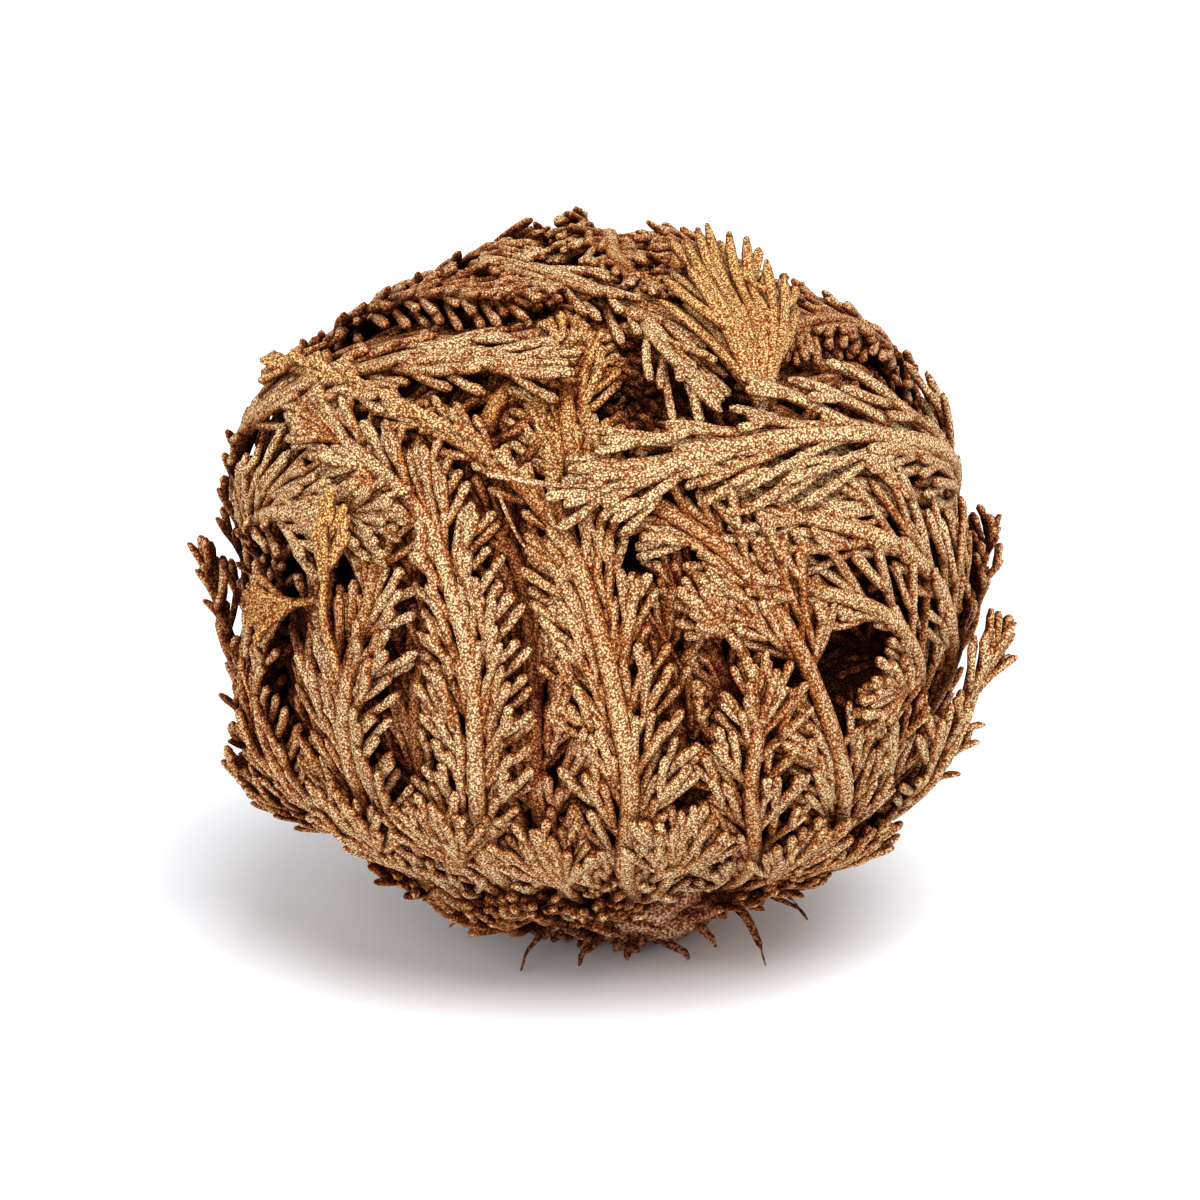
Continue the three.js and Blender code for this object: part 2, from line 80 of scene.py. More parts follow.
CENTRE = np.array([-4.0, 0.0, 46.5])
HALF_SIZE = np.array([44.5, 43.0, 39.5])
SQUARENESS = 2.35

# Low swellings and hollows of the surface: azimuth, elevation, height, spread in degrees.
SWELLS = [
    (86, 42, 2.0, 14), (-88, 31, 2.5, 16), (56, 67, -3.0, 11), (83, 65, 2.6, 7), (-120, 58, -1.6, 9),
    (-78, 2, -2.6, 12), (75, -38, 1.4, 14), (-68, -47, -2.2, 11), (-48, -63, 4.6, 11), (-79, -25, 4.6, 15),
    (-106, 44, -3.4, 16), (109, 51, -5.6, 14), (56, -62, -1.8, 10), (-150, 70, 2.0, 11),
    (-92, 12, 1.4, 12), (92, 17, -2.2, 13),
]
# Deep gaps between the fronds, where the heart falls back, and how far round them nothing grows.
GAPS = [(4, 45, -6, 12), (13, 16, -5, 11), (38, -6, -7, 12), (-55, 8, -5, 11)]
OPEN = [3.6, 2.8, 3.6, 2.4]
EYE = (6, 52)  # bearing that the young fronds coil into

# Depths of the layers of fronds.
OVER, OUTER, MIDDLE, BURIED, LAYER = -1.2, 1.6, 4.3, 8.5, 2.45
FOOT = (9.5, 12.0)  # distance from the axis and height where a stem starts in the rootstock

# How a frond grows, unless its own row below says otherwise: how far its branches reach, where along
# it its depth changes, the length of its foot that has no branches, the distance between the branches
# on one side, their angle to the stem and their bend in 10 mm, the thickness of the cords as a share
# of the branchlet width, the most branchlets on a branch, how far the tips stand off, the share of
# the stem between which the branches close up to it, how golden and how light it is at its foot and its
# tip, the share of its angle by which a branchlet bends back beside its branch, how much room the
# branches keep to the line midway to the next stem (below 0 they run over it), and the count, half
# angle and length of the branches that it ends in. Its depth is given at its foot and at its tip.
# The tone rises from foot to tip partly as the plant's own lighter tips and partly as painted shade on the
# feet that lie under other branches.
HABIT = {
    "reach": 13, "rise": (0.3, 0.75), "bare": 9, "pitch": 3.8, "angle": 30, "bend": 7, "thick": 1,
    "twigs": 4, "flare": 0, "close": (9, 10), "gold": (0.05, 0.2), "tone": (0.6, 1), "turn": 0.7,
    "room": -3.8, "tip": (4, 30, 8.5), "depth": (OUTER, OUTER),
}
LOOKS = {
    "tan": {}, "amber": {"gold": (0.2, 0.6), "tone": (0.62, 1)},
    "brown": {"gold": (0, 0.1), "tone": (0.56, 0.88), "depth": (MIDDLE, MIDDLE)},
}
# Long cords that run almost beside their stem, and how much lighter, as painted light, the fronds that get
# the most light are.
LONG = {
    "angle": 17, "reach": 22, "bend": 3, "thick": 1.02, "twigs": 3, "pitch": 6.2, "turn": 1, "room": -6,
    "tip": (3, 20, 9),
}
PAINTED_LIGHT = {"tone": (0.74, 1.1)}
# Fronds that come up out of the heart.
INNER = {"depth": (BURIED, MIDDLE), "rise": (0, 0.35)}


def frond(look, *kinds, **own):
    """How a frond grows: as its look and then its kinds say, and then as its own row does."""
    habit = {**HABIT, **LOOKS[look], "look": look}
    for kind in (*kinds, own):
        habit.update(kind)
    return habit


# The fronds, each with the bearings that its stem passes.
FRONDS = {
    "front_frond_1": frond("tan", reach=12, tip=(6, 24, 11),
        way=[(-22, -40), (-20, -15), (-20, -1), (-23, 11), (-28, 21), (-37, 27), (-51, 31)]),
    "front_frond_2": frond("tan", depth=(OUTER, MIDDLE), rise=(0.6, 1),
        way=[(-41, -40), (-43, -20), (-41, -4), (-38, 8), (-39, 17), (-46, 25), (-55, 30)]),
    "front_frond_3": frond("brown", reach=12, tone=(0.66, 0.92), depth=(2.0, MIDDLE),
        way=[(-9, -38), (-11, -18), (-11, -6), (-12, 6), (-14, 17), (-22, 25), (-32, 29)]),
    "front_frond_4": frond("tan", reach=12, close=(0.5, 2), gold=(0, 0.7), depth=(OUTER, 0.8),
        tip=(4, 10, 7),
        way=[(5, -38), (5, -20), (3, -7), (0, 7), (-6, 22), (-18, 32), (-36, 37), (-58, 39), (-78, 36)]),
    "front_frond_5": frond("tan", reach=12, depth=(MIDDLE, MIDDLE),
        way=[(20, -38), (16, -20), (12, -8), (11, 3)]),
    "front_frond_6": frond("tan", reach=12, way=[(32, -40), (28, -30), (25, -20), (25, -9)]),
    "front_frond_7": frond("tan", way=[(52, -42), (45, -26), (37, -10), (30, 5), (20, 19), (7, 28)]),
    "front_frond_8": frond("brown", reach=11, way=[(36, -40), (31, -26), (25, -12), (20, 0), (15, 10)]),
    "front_frond_9": frond("amber", INNER, reach=14,
        way=[(1, 12), (-2, 24), (-5, 35), (-8, 45), (-10, 56)]),
    "front_frond_10": frond("brown", reach=11,
        way=[(-31, -40), (-32, -22), (-31, -6), (-29, 6), (-32, 15)]),
    "right_frond_1": frond("tan", reach=12, depth=(MIDDLE, OUTER),
        way=[(60, -46), (58, -34), (54, -22), (51, -13)]),
    "right_frond_2": frond("tan", PAINTED_LIGHT, reach=14, depth=(OUTER, -2.0), rise=(0.4, 0.9), flare=1.6,
        way=[(73, -45), (70, -34), (67, -26), (68, -19), (73, -13)]),
    "right_frond_3": frond("tan", LONG, PAINTED_LIGHT, reach=26, pitch=5.2, depth=(MIDDLE, 1.2), rise=(0.3, 0.6),
        way=[(85, -44), (79, -26), (71, -8), (62, 5), (50, 15), (33, 22)]),
    "right_frond_4": frond("tan", LONG, PAINTED_LIGHT,
        way=[(88, -42), (86, -22), (84, -4), (76, 11), (62, 19), (46, 25), (30, 29)]),
    "right_frond_5": frond("tan", LONG, PAINTED_LIGHT, depth=(OUTER, OVER),
        way=[(107, -40), (104, -18), (97, 3), (84, 15), (66, 25), (43, 32), (22, 33.5), (6, 30)]),
    "right_frond_6": frond("brown", reach=14, depth=(MIDDLE, OUTER),
        way=[(122, -40), (116, -10), (110, 14), (100, 33), (88, 44), (72, 51), (56, 52)]),
    "right_frond_7": frond("brown", reach=11, depth=(MIDDLE, -1.1), rise=(0.6, 0.9), flare=1,
        tip=(4, 20, 7), way=[(97, -42), (95, -25), (94, -13), (94, -2)]),
    "right_frond_8": frond("tan", LONG, PAINTED_LIGHT, depth=(MIDDLE, 2.6),
        way=[(72, -44), (68, -28), (62, -12), (54, 0), (44, 7), (34, 11)]),
    "right_frond_9": frond("brown", way=[(109, -40), (106, -18), (104, 2), (100, 18), (92, 30)]),
    "right_frond_10": frond("tan", PAINTED_LIGHT, INNER, reach=16, angle=24,
        way=[(89, 11), (80, 19), (68, 25), (54, 28), (40, 30)]),
    "left_frond_1": frond("tan", reach=12, way=[(-62, -42), (-63, -28), (-65, -14), (-64, -4)]),
    "left_frond_2": frond("brown", reach=12, way=[(-52, -38), (-53, -22), (-54, -8), (-52, 2)]),
    "left_frond_3": frond("tan", reach=18, angle=24, tone=(0.72, 1), depth=(MIDDLE, OUTER), flare=1,
        way=[(-86, -40), (-84, -20), (-82, -2), (-72, 12), (-56, 18), (-42, 21)]),
    "left_frond_4": frond("brown", reach=9, tone=(0.62, 0.95), depth=(3.8, -1.0), rise=(0.8, 1), flare=1.6,
        way=[(-82, -42), (-82, -28), (-85, -17), (-89, -7)]),
    "left_frond_5": frond("tan", LONG, close=(0.1, 0.5),
        way=[(-104, -38), (-102, -10), (-94, 14), (-78, 30), (-58, 42), (-38, 48), (-22, 50)]),
    "left_frond_6": frond("brown", LONG,
        way=[(-118, -38), (-114, -8), (-106, 20), (-90, 38), (-66, 52), (-38, 58)]),
    "left_frond_7": frond("brown", reach=16, angle=24, flare=0.8, depth=(OUTER, OUTER),
        way=[(-122, -36), (-120, -4), (-114, 26), (-98, 46), (-72, 61), (-46, 66)]),
    "left_frond_8": frond("brown", reach=12, way=[(-69, -40), (-70, -22), (-69, -8), (-66, 4)]),
    "left_frond_9": frond("tan", INNER, angle=26, way=[(-84, 14), (-75, 25), (-62, 32), (-46, 36)]),
    "top_frond_1": frond("amber", LONG, reach=26, depth=(BURIED, 0), rise=(0, 0.8), bare=16, twigs=4,
        flare=3, gold=(0, 0.75), tip=(9, 19, 31), way=[(26, 14), (27.5, 28), (31.5, 38.5)]),
    "top_frond_2": frond("amber", INNER, reach=14,
        way=[(-27, 28), (-25, 41), (-21, 53), (-10, 62), (8, 66)]),
    "top_frond_3": frond("brown", INNER, way=[(88, 34), (68, 42), (52, 50), (45, 61)]),
    "top_frond_4": frond("tan", LONG,
        way=[(-146, -34), (-142, 0), (-138, 30), (-128, 54), (-96, 72), (-24, 77), (12, 67), (20, 54)]),
    "back_frond_1": frond("tan", reach=14,
        way=[(136, -38), (129, -13), (126, 13), (117, 38), (104, 56), (84, 66)]),
    "back_frond_2": frond("brown", reach=14,
        way=[(148, -38), (145, -12), (139, 14), (134, 38), (121, 58), (92, 74), (59, 76)]),
    "back_frond_3": frond("tan", reach=15,
        way=[(162, -38), (157, -13), (155, 12), (147, 38), (137, 60), (116, 74), (75, 76)]),
    "back_frond_4": frond("brown", reach=14,
        way=[(176, -38), (173, -12), (167, 14), (165, 38), (158, 60), (140, 80), (50, 85), (9, 78)]),
    "back_frond_5": frond("brown", reach=14,
        way=[(-154, -38), (-156, -12), (-158, 14), (-158, 38), (-154, 60), (-132, 76), (-66, 82),
             (-20, 80)]),
    "back_frond_6": frond("tan", reach=15,
        way=[(-170, -38), (-171, -12), (-175, 14), (-175, 38), (178, 58), (173, 76), (90, 87), (38, 79)]),
    "back_frond_7": frond("brown", reach=15, angle=26, flare=1.2,
        way=[(-134, -38), (-132, -10), (-130, 20), (-122, 46), (-96, 64), (-74, 73), (-31, 73)]),
}

# Small growth of the fronds: the frond that each belongs to, its width, its depths and its way.
WISP = {"tip": (0, 0, 0), "tone": (0.9, 1), "gold": (0.1, 0.1)}
SPRIGS = [
    {"on": "left_frond_8", "width": 1.4, "depth": (5, 0.8), "tip": (7, 24, 8), "gold": (0.7, 1),
        "tone": (0.66, 0.95), "way": [(-47, 6.8), (-49.5, 6.2), (-51.5, 5.4)]},
    {"on": "front_frond_2", "width": 1.5, "depth": (0, -0.8), "tip": (3, 9, 8), "gold": (0.5, 0.9),
        "tone": (0.8, 1), "way": [(-41, -2), (-43, 5), (-43, 11)]},
    {"on": "front_frond_7", "width": 1.8, "depth": (3, 1.5), "tip": (6, 46, 6.5),
        "way": [(25, -4), (23, 2), (19.5, 6.8)]},
    {"on": "right_frond_2", "width": 1.8, "depth": (3, 0), "tip": (6, 42, 7.5),
        "way": [(62, -10.8), (55, -7.8), (50, -7.1)]},
    {"on": "front_frond_3", **WISP, "width": 0.5, "depth": (-2.2, -1.8),
        "way": [(-16, 27), (-12.7, 21.7), (-9.3, 17.4)]},
    {"on": "front_frond_4", **WISP, "width": 0.8, "depth": (-2.4, -2.4),
        "way": [(-18, 29.5), (-6.8, 28.7), (7, 28.7)]},
    {"on": "front_frond_5", "tip": (0, 0, 0), "width": 0.7, "depth": (2, 3), "tone": (0.4, 0.6),
        "way": [(6, 12.4), (11, 4.6), (15.4, -4.3)]},
]

# ---- Cords and branches --------------------------------------------------------------------------

STEM_WIDTH, LOW_STEM_WIDTH, YOUNG_STEM_WIDTH = 2.8, 2.2, 2.1
STEM_FLATNESS, FLATNESS = 0.8, 0.88  # thickness of the stems and of the other cords against their width
STEM_RINGS = 40
STEM_STEP = 1.5  # distance between the places that a stem is drawn through
SPINE_STEP = 2.0  # distance between those that the branches of the others are kept from
AHEAD = 2e-3  # share of a stem before and after a place over which its heading is taken
OPPOSITE = 4.0  # square of the distance between opposite places on a ball of radius 1
SINK = 0.6  # how far a branch's foot lies under the stem's middle
LAP = 0.8  # how far the tips to one side lie over the next frond, and those to the other under it
CLOSED = 0.75  # how much of its angle a branch loses where the branches close up
SHORTENED = 0.3  # and how much of its length
CLOSING = 8  # how fast they close up: over 1 / this share of the stem
TWIG_SPACING = 2.0
TWIG_FROM, TWIG_SPAN, TWIG_LIMITS = 0.14, 0.6, (0.06, 0.84)  # where along a branch its twigs leave
BARE_BRANCH = 1.4  # length of a branch that has no twigs
TWIG_LENGTH, SHORTEST_TWIG = 0.88, 2.2  # the first as a share of the rest of the branch
SHINGLE = 0.4  # how far the twigs on a branch's upper side lie over those on its lower side
STEM_LIGHT, TWIG_DARK, TWIG_LIGHT = 0.14, 0.08, 0.05  # steps of tone at a foot or a tip
SIDE_SHADE, RIDGE = 1.0, 0.9  # painted shade: how much darker the sides of a cord are than its back, and where that is 0
DEEPEN = 0.03  # how much darker a cord is for each mm that it lies deeper: painted shade of the deeper layers, and partly the outer growth's own bleached lighter colour
HOLLOW = 0.2  # painted shade: how much darker it is for each mm that it lies under what is round it, and painted light where it stands above it
HOLLOW_LIMITS = (-0.7, 3.2)
CELLS, WINDOW = 96, 2  # cells along a face of the cube that the ball is mapped on, and how far round counts
BRANCH_STEPS, TWIG_STEPS = 8, 5
SHORTEST = 3.0  # length of the shortest branch that is grown
TAPER = 0.45  # how much shorter the branches are at the tip of a frond
CURL, SLACK = 0.8, 0.5  # how near to its own stem a branch may bend back, as a share and in mm
TIP_AT, TIP_ROUNDING = 0.99, 0.3  # where the end branches leave, and how much shorter the outer ones are
SEEDS = {"fronds": 100, "low fans": 300, "heart": 400, "rootlets": 500}

# What varies from one cord or fan to the next: its mean and its standard deviation. A rise is how far
# a tip stands above its foot, and the extra is what a twig is longer than its share of the branch.
VARY = {
    "wobble": (1, 0.05), "age": (0, 0.08), "rise": (1.3, 0.5), "length": (1, 0.1), "width": (1, 0.06),
    "twig place": (0, 0.04), "twig extra": (1.6, 0.5), "twig angle": (26, 4), "twig rise": (0, 0.4),
    "twig width": (0.94, 0.07), "tip length": (1, 0.06), "fan rise": (0, 3), "fan depth": (0, 0.4),
    "stub place": (0, 0.4), "stub lean": (0, 12),
}
ANGLE_SPREAD, BEND_SPREAD = 4, 5
OFF_PLACE = 0.25  # how far a branch or a fan may be off its place in its row

# The cords that everything is grown from, 1 long and about 1 in radius: how many sides they have, and
# the height and radius of each of their rings.
CORD_SHAPES = {
    "stem": (8, [
        *[(i / STEM_RINGS, 1 - 0.3 * i / STEM_RINGS) for i in range(STEM_RINGS)], (0.992, 0.6), (1, 0.3),
    ]),
    "branch": (6, [
        (0, 1.05), (0.14, 1.0), (0.3, 0.92), (0.46, 1.02), (0.62, 0.93), (0.8, 1.04), (0.92, 0.96),
        (0.985, 0.55),
    ]),
    "twig": (6, [(0, 0.8), (0.3, 1.0), (0.6, 0.95), (0.86, 1.08), (0.98, 0.55)]),
    "young": (5, [(0, 0.9), (0.45, 1.0), (0.85, 1.0), (0.98, 0.5)]),
    "root": (6, [(i / 9, 1 - 0.75 * (i / 9) ** 1.3) for i in range(10)]),
}

YOUNG = {
    "count": 20, "twist": 0.75, "from": 158, "to": 5, "depth": 5.3, "reach": 9.5, "pitch": 5, "bare": 6,
    "twigs": 2, "tone": (0.6, 0.9), "gold": (0.1, 0.1),
}
# Short fans that rise from the rootstock over the feet of the other fronds.
LOW = [
    {"count": 22, "elevations": (-74, -59, -43), "lean": 5, "depth": (1.8, 0.8), "tone": (0.55, 0.95),
     "tip": (7, 33, 13.5), "twigs": 4},
    {"count": 19, "elevations": (-84, -72, -59), "lean": 7, "depth": (-0.4, -0.4), "tone": (0.25, 0.62),
     "tip": (6, 42, 8), "twigs": 3},
]


def unit(vectors):
    return vectors / np.linalg.norm(vectors, axis=-1, keepdims=True)


def flatten(vectors, directions):
    """The part of each vector that lies along the surface, at unit length."""
    return unit(vectors - directions * np.sum(vectors * directions, axis=-1, keepdims=True))


def turned(headings, directions, angles):
    """Headings turned to the left about the outward directions, by angles in radians."""
    return headings * np.cos(angles) + np.cross(directions, headings) * np.sin(angles)


def bearing(azimuth, elevation):
    a, e = math.radians(azimuth), math.radians(elevation)
    return np.array([math.cos(e) * math.sin(a), -math.cos(e) * math.cos(a), math.sin(e)])


def bumps(rows, directions):
    """Sum of round bumps, each a bell curve of the angle from its own bearing."""
    total = np.zeros(directions.shape[:-1])
    for azimuth, elevation, height, spread in rows:
        angle = np.degrees(np.arccos(np.clip(directions @ bearing(azimuth, elevation), -1, 1)))
        total += height * np.exp(-((angle / spread) ** 2))
    return total


def ball_radius(directions):
    share = np.sum(np.abs(directions / HALF_SIZE) ** SQUARENESS, axis=-1)
    return share ** (-1 / SQUARENESS) + bumps(SWELLS, directions)


def on_ball(directions, depths):
    return directions * (ball_radius(directions) - depths)[..., None] + CENTRE


def smooth_way(points, per_span=24):
    """Points of a smooth curve through the given ones (a centripetal Catmull-Rom spline)."""
    ends = [2 * points[0] - points[1], *points, 2 * points[-1] - points[-2]]
    t = np.linspace(0, 1, per_span, endpoint=False)[:, None]
    spans = []
    for a, b, c, d in zip(ends, ends[1:], ends[2:], ends[3:]):
        ab, bc, cd = (math.sqrt(np.linalg.norm(q - p)) for p, q in ((a, b), (b, c), (c, d)))
        leave = ((b - a) / ab - (c - a) / (ab + bc)) * bc + c - b
        arrive = ((d - c) / cd - (d - b) / (bc + cd)) * bc + c - b
        cubic = 2 * b - 2 * c + leave + arrive
        square = 3 * c - 3 * b - 2 * leave - arrive
        spans.append(b + t * leave + t**2 * square + t**3 * cubic)
    return np.vstack([*spans, points[-1:]])


class Stem:
    """The way of a stem over the ball."""

    def __init__(self, points, depths, rise=(0, 1)):
        self.curve = smooth_way(np.array(points))
        steps = np.linalg.norm(np.diff(self.curve, axis=0), axis=1)
        self.run = np.concatenate([[0], np.cumsum(steps)])
        self.length = self.run[-1] * HALF_SIZE[1]
        self.depths, self.rise = depths, rise

    def directions(self, share):
        place = np.clip(share, 0, 1) * self.run[-1]
        return unit(np.stack([np.interp(place, self.run, self.curve[:, i]) for i in range(3)], axis=1))

    def at(self, share):
        """Outward directions, headings and depths at shares of the stem's length."""
        directions = self.directions(share)
        headings = flatten(self.directions(share + AHEAD) - self.directions(share - AHEAD), directions)
        step = np.clip((share - self.rise[0]) / (self.rise[1] - self.rise[0]), 0, 1)
        depths = self.depths[0] + (self.depths[1] - self.depths[0]) * step * step * (3 - 2 * step)
        return directions, headings, depths

    def evenly(self, pitch):
        return self.at(np.linspace(0, 1, round(self.length / pitch) + 1))


def frond_stem(habit):
    points = [bearing(*place) for place in habit["way"]]
    if habit["depth"][0] != BURIED:
        foot = bearing(habit["way"][0][0], 0) * FOOT[0] + np.array([0, 0, FOOT[1]]) - CENTRE
        points.insert(0, unit(foot))
    return Stem(points, habit["depth"], habit["rise"])


SPINES = {name: frond_stem(habit).evenly(SPINE_STEP) for name, habit in FRONDS.items()}


def walk(direction, heading, length, bend, steps):
    """Directions and headings along paths over the ball: arrays of path, step and axis."""
    stride = (length / steps)[:, None]
    trail = [(direction, heading)]
    for _ in range(steps):
        direction = unit(direction + heading * stride / ball_radius(direction)[:, None])
        heading = turned(flatten(heading, direction), direction, bend[:, None] * stride)
        trail.append((direction, heading))
    directions, headings = zip(*trail)
    return np.stack(directions, axis=1), np.stack(headings, axis=1)


def nearest(spines, paths, depth):
    """Distance from each place of each path to the nearest stem in the path's own layer."""
    least = np.full(paths.shape[:2], OPPOSITE)
    for directions, _, depths in spines:
        apart = 2 - 2 * np.einsum("pij,sj->pis", paths, directions)
        other_layer = np.abs(depths[None, :] - depth[:, None]) >= LAYER
        apart += OPPOSITE * other_layer[:, None, :]
        least = np.minimum(least, apart.min(axis=2))
    return np.sqrt(np.maximum(least, 0)) * HALF_SIZE[1]


def over_gap(directions):
    """Whether each direction crosses one of the deep gaps."""
    crosses = np.zeros(directions.shape[:-1], dtype=bool)
    for (azimuth, elevation, _, _), radius in zip(GAPS, OPEN):
        crosses |= directions @ bearing(azimuth, elevation) > math.cos(radius / HALF_SIZE[1])
    return crosses


def clear_reach(name, direction, heading, angle, bend, depth, longest, room):
    """How far branches run before they meet another stem's branches, their own stem or a gap."""
    steps = math.ceil(longest.max())
    paths, _ = walk(direction, heading, np.full(len(depth), float(steps)), bend, steps)
    own = nearest([SPINES[name]], paths, depth)
    others = nearest([spine for key, spine in SPINES.items() if key != name], paths, depth)
    far = np.arange(steps + 1)[None, :]
    spread = CURL * far * np.sin(angle)[:, None] - SLACK
    stopped = (others - own < room) | (own < spread) | (far > longest[:, None]) | over_gap(paths)
    stopped[:, 0] = False
    first = np.where(stopped.any(axis=1), stopped.argmax(axis=1), steps + 1)
    return np.minimum(first - 1.0, longest)


class Growth:
    """The cords of one piece, gathered as arrays of corners, triangles and colours."""

    def __init__(self, seed, sizes):
        self.cords = cords()
        self.radius = sizes.branchlet_width / MM / 2
        self.random = np.random.default_rng(seed)
        self.corners, self.triangles, self.colours = [], [], []
        self.count = 0

    def draw(self, name, count=None):
        return self.random.normal(*VARY[name], count)

    def stamp(self, kind, paths, ways, depths, radius, flatness, tone, gold):
        """Copies the cord of a kind along each path. tone and gold are given at its foot and tip."""
        points, triangles = self.cords[kind]
        count = len(paths)
        where = points[:, 2] * (paths.shape[1] - 1)
        low = np.clip(where.astype(int), 0, paths.shape[1] - 2)
        part = (where - low)[None, :, None]

        def blend(values):
            return values[:, low] * (1 - part) + values[:, low + 1] * part

        def from_foot_to_tip(ends):
            foot, tip = (np.broadcast_to(end, (count,))[:, None] for end in ends)
            return foot + (tip - foot) * points[None, :, 2]

        middle = blend(on_ball(paths, depths))
        across = blend(np.cross(paths, ways))
        out = blend(paths)
        wobble = self.draw("wobble", (count, len(points), 1))
        size = np.broadcast_to(radius, (count,))[:, None, None] * wobble
        corners = middle + (points[:, 0][:, None] * across + points[:, 1][:, None] * flatness * out) * size
        # Painted shade: the sides of a cord are darker than its back, and a deeper cord is darker.
        light = from_foot_to_tip(tone) + SIDE_SHADE * (points[:, 1] - RIDGE)[None, :]
        light = light - DEEPEN * (blend(depths[..., None])[..., 0] - OUTER)
        own = np.repeat(self.random.random(count)[:, None], len(points), axis=1)
        colours = np.stack([light, own, from_foot_to_tip(gold), np.ones_like(own)], axis=2)
        offsets = self.count + len(points) * np.arange(count)[:, None, None]
        self.triangles.append((triangles[None] + offsets).reshape(-1, 3))
        self.corners.append(corners.reshape(-1, 3))
        self.colours.append(np.clip(colours, 0, 1).reshape(-1, 4))
        self.count += count * len(points)

    def made(self, name):
        """The gathered cords as one object at the origin, in metres."""
        mesh = bpy.data.meshes.new(name)
        triangles = np.vstack(self.triangles).tolist()
        mesh.from_pydata(np.vstack(self.corners) * MM, [], triangles, shade_flat=False)
        growth = mesh.color_attributes.new("growth", "FLOAT_COLOR", "POINT")
        growth.data.foreach_set("color", np.vstack(self.colours).ravel())
        piece = bpy.data.objects.new(name, mesh)
        bpy.context.scene.collection.objects.link(piece)
        return piece


def raise_rings(profile, scale=1):
    """Extrudes the face that is selected ring by ring, by rows of height and radius."""
    height, radius = profile[0]
    for next_height, next_radius in profile[1:]:
        rise = (next_height - height) * scale
        bpy.ops.mesh.extrude_region_move(TRANSFORM_OT_translate={"value": (0, 0, rise)})
        share = next_radius / radius
        bpy.ops.transform.resize(value=(share, share, 1), center_override=(0, 0, next_height * scale))
        height, radius = next_height, next_radius


def face_outwards():
    """Turns every face of the mesh outwards, in edit mode."""
    bpy.ops.mesh.select_all(action="SELECT")
    bpy.ops.mesh.normals_make_consistent(inside=False)


def model_cord(sides, profile):
    """Models a straight cord ring by ring, and gives its corners and triangles."""
    bpy.ops.mesh.primitive_circle_add(vertices=sides, radius=profile[0][1], fill_type="NGON")
    bpy.ops.object.mode_set(mode="EDIT")
    raise_rings(profile)
    face_outwards()
    bpy.ops.mesh.quads_convert_to_tris()
    bpy.ops.object.mode_set(mode="OBJECT")
    cord = bpy.context.object
    points = np.array([corner.co for corner in cord.data.vertices])
    points[:, 2] /= profile[-1][0]
    triangles = np.array([face.vertices for face in cord.data.polygons])
    bpy.ops.object.delete()
    return points, triangles


CORDS = {}


def cords():
    """The corners and triangles of each kind of cord, modelled once."""
    if not CORDS:
        bpy.ops.object.select_all(action="DESELECT")
        for kind, (sides, profile) in CORD_SHAPES.items():
            CORDS[kind] = model_cord(sides, profile)
    return CORDS


def value_at(values, steps, share):
    """Values of each path at a share of its length, from arrays by path and step."""
    where = share * steps
    low = np.minimum(where.astype(int), steps - 1)
    part = (where - low)[:, None]
    rows = np.arange(len(values))
    return values[rows, low] * (1 - part) + values[rows, low + 1] * part


def grow_twigs(growth, kind, paths, ways, depths, length, hand, habit, tone, gold):
    """Blunt branchlets that leave branches on alternate sides and bend back to run beside them."""
    steps = paths.shape[1] - 1
    wanted = np.clip(np.round((length - BARE_BRANCH) / TWIG_SPACING), 0, habit["twigs"])
    first = growth.random.integers(0, 2, len(length))
    for number in range(habit["twigs"]):
        rows = np.flatnonzero(wanted > number)
        if not len(rows):
            break
        share = TWIG_FROM + TWIG_SPAN * number / np.maximum(wanted[rows] - 1, 1)
        share = np.clip(share + growth.draw("twig place", len(rows)), *TWIG_LIMITS)
        side = np.where((first[rows] + number) % 2, 1.0, -1.0)
        direction = unit(value_at(paths[rows], steps, share))
        heading = flatten(value_at(ways[rows], steps, share), direction)
        depth = value_at(depths[rows][..., None], steps, share)
        outer = np.ceil((wanted[rows] - number) / 2)
        run = TWIG_LENGTH * length[rows] * (1 - share) + growth.draw("twig extra", len(rows))
        run = np.clip(run, SHORTEST_TWIG, 0.6 * habit["reach"] + 1)
        angle = np.radians(growth.draw("twig angle", len(rows))) * np.minimum(1, (7 / run) ** 0.7)
        heading = turned(heading, direction, (-side * angle)[:, None])
        bend = side * angle * habit["turn"] / (0.6 + 0.4 * outer) / run
        twigs, twig_ways = walk(direction, heading, run, bend, TWIG_STEPS)
        lift = side * hand[rows] * SHINGLE + growth.draw("twig rise", len(rows))
        fall = depth + lift[:, None] * np.linspace(0.3, 1, TWIG_STEPS + 1)[None, :]
        radius = growth.radius * habit["thick"] * growth.draw("twig width", len(rows))
        light = tone[0][rows] * (1 - share) + tone[1][rows] * share
        yellow = gold[0][rows] * (1 - share) + gold[1][rows] * share
        light = (light - TWIG_DARK, tone[1][rows] + TWIG_LIGHT)
        growth.stamp(kind, twigs, twig_ways, fall, radius, FLATNESS, light, (yellow, gold[1][rows]))


def grow_fan(growth, kinds, direction, heading, depth, length, bend, side, habit, share):
    """Branches from given places, each with its branchlets."""
    count = len(length)
    paths, ways = walk(direction, heading, length, bend, BRANCH_STEPS)
    run = np.linspace(0, 1, BRANCH_STEPS + 1)[None, :]
    rise = growth.draw("rise", count)
    rise += habit["flare"] * share**2 * np.minimum(length / 8, 1)
    fall = depth[:, None] + SINK * (1 - run) - rise[:, None] * run**1.5 - (LAP * side)[:, None] * run**2
    age = growth.draw("age", count)
    tone = (habit["tone"][0] + age, habit["tone"][1] + age)
    least, most = habit["gold"]
    gold = (least + (most - least) * 0.5 * share, least + (most - least) * share)
    radius = growth.radius * habit["thick"] * growth.draw("width", count)
    growth.stamp(kinds[0], paths, ways, fall, radius, FLATNESS, tone, gold)
    grow_twigs(growth, kinds[1], paths, ways, fall, length, side, habit, tone, gold)


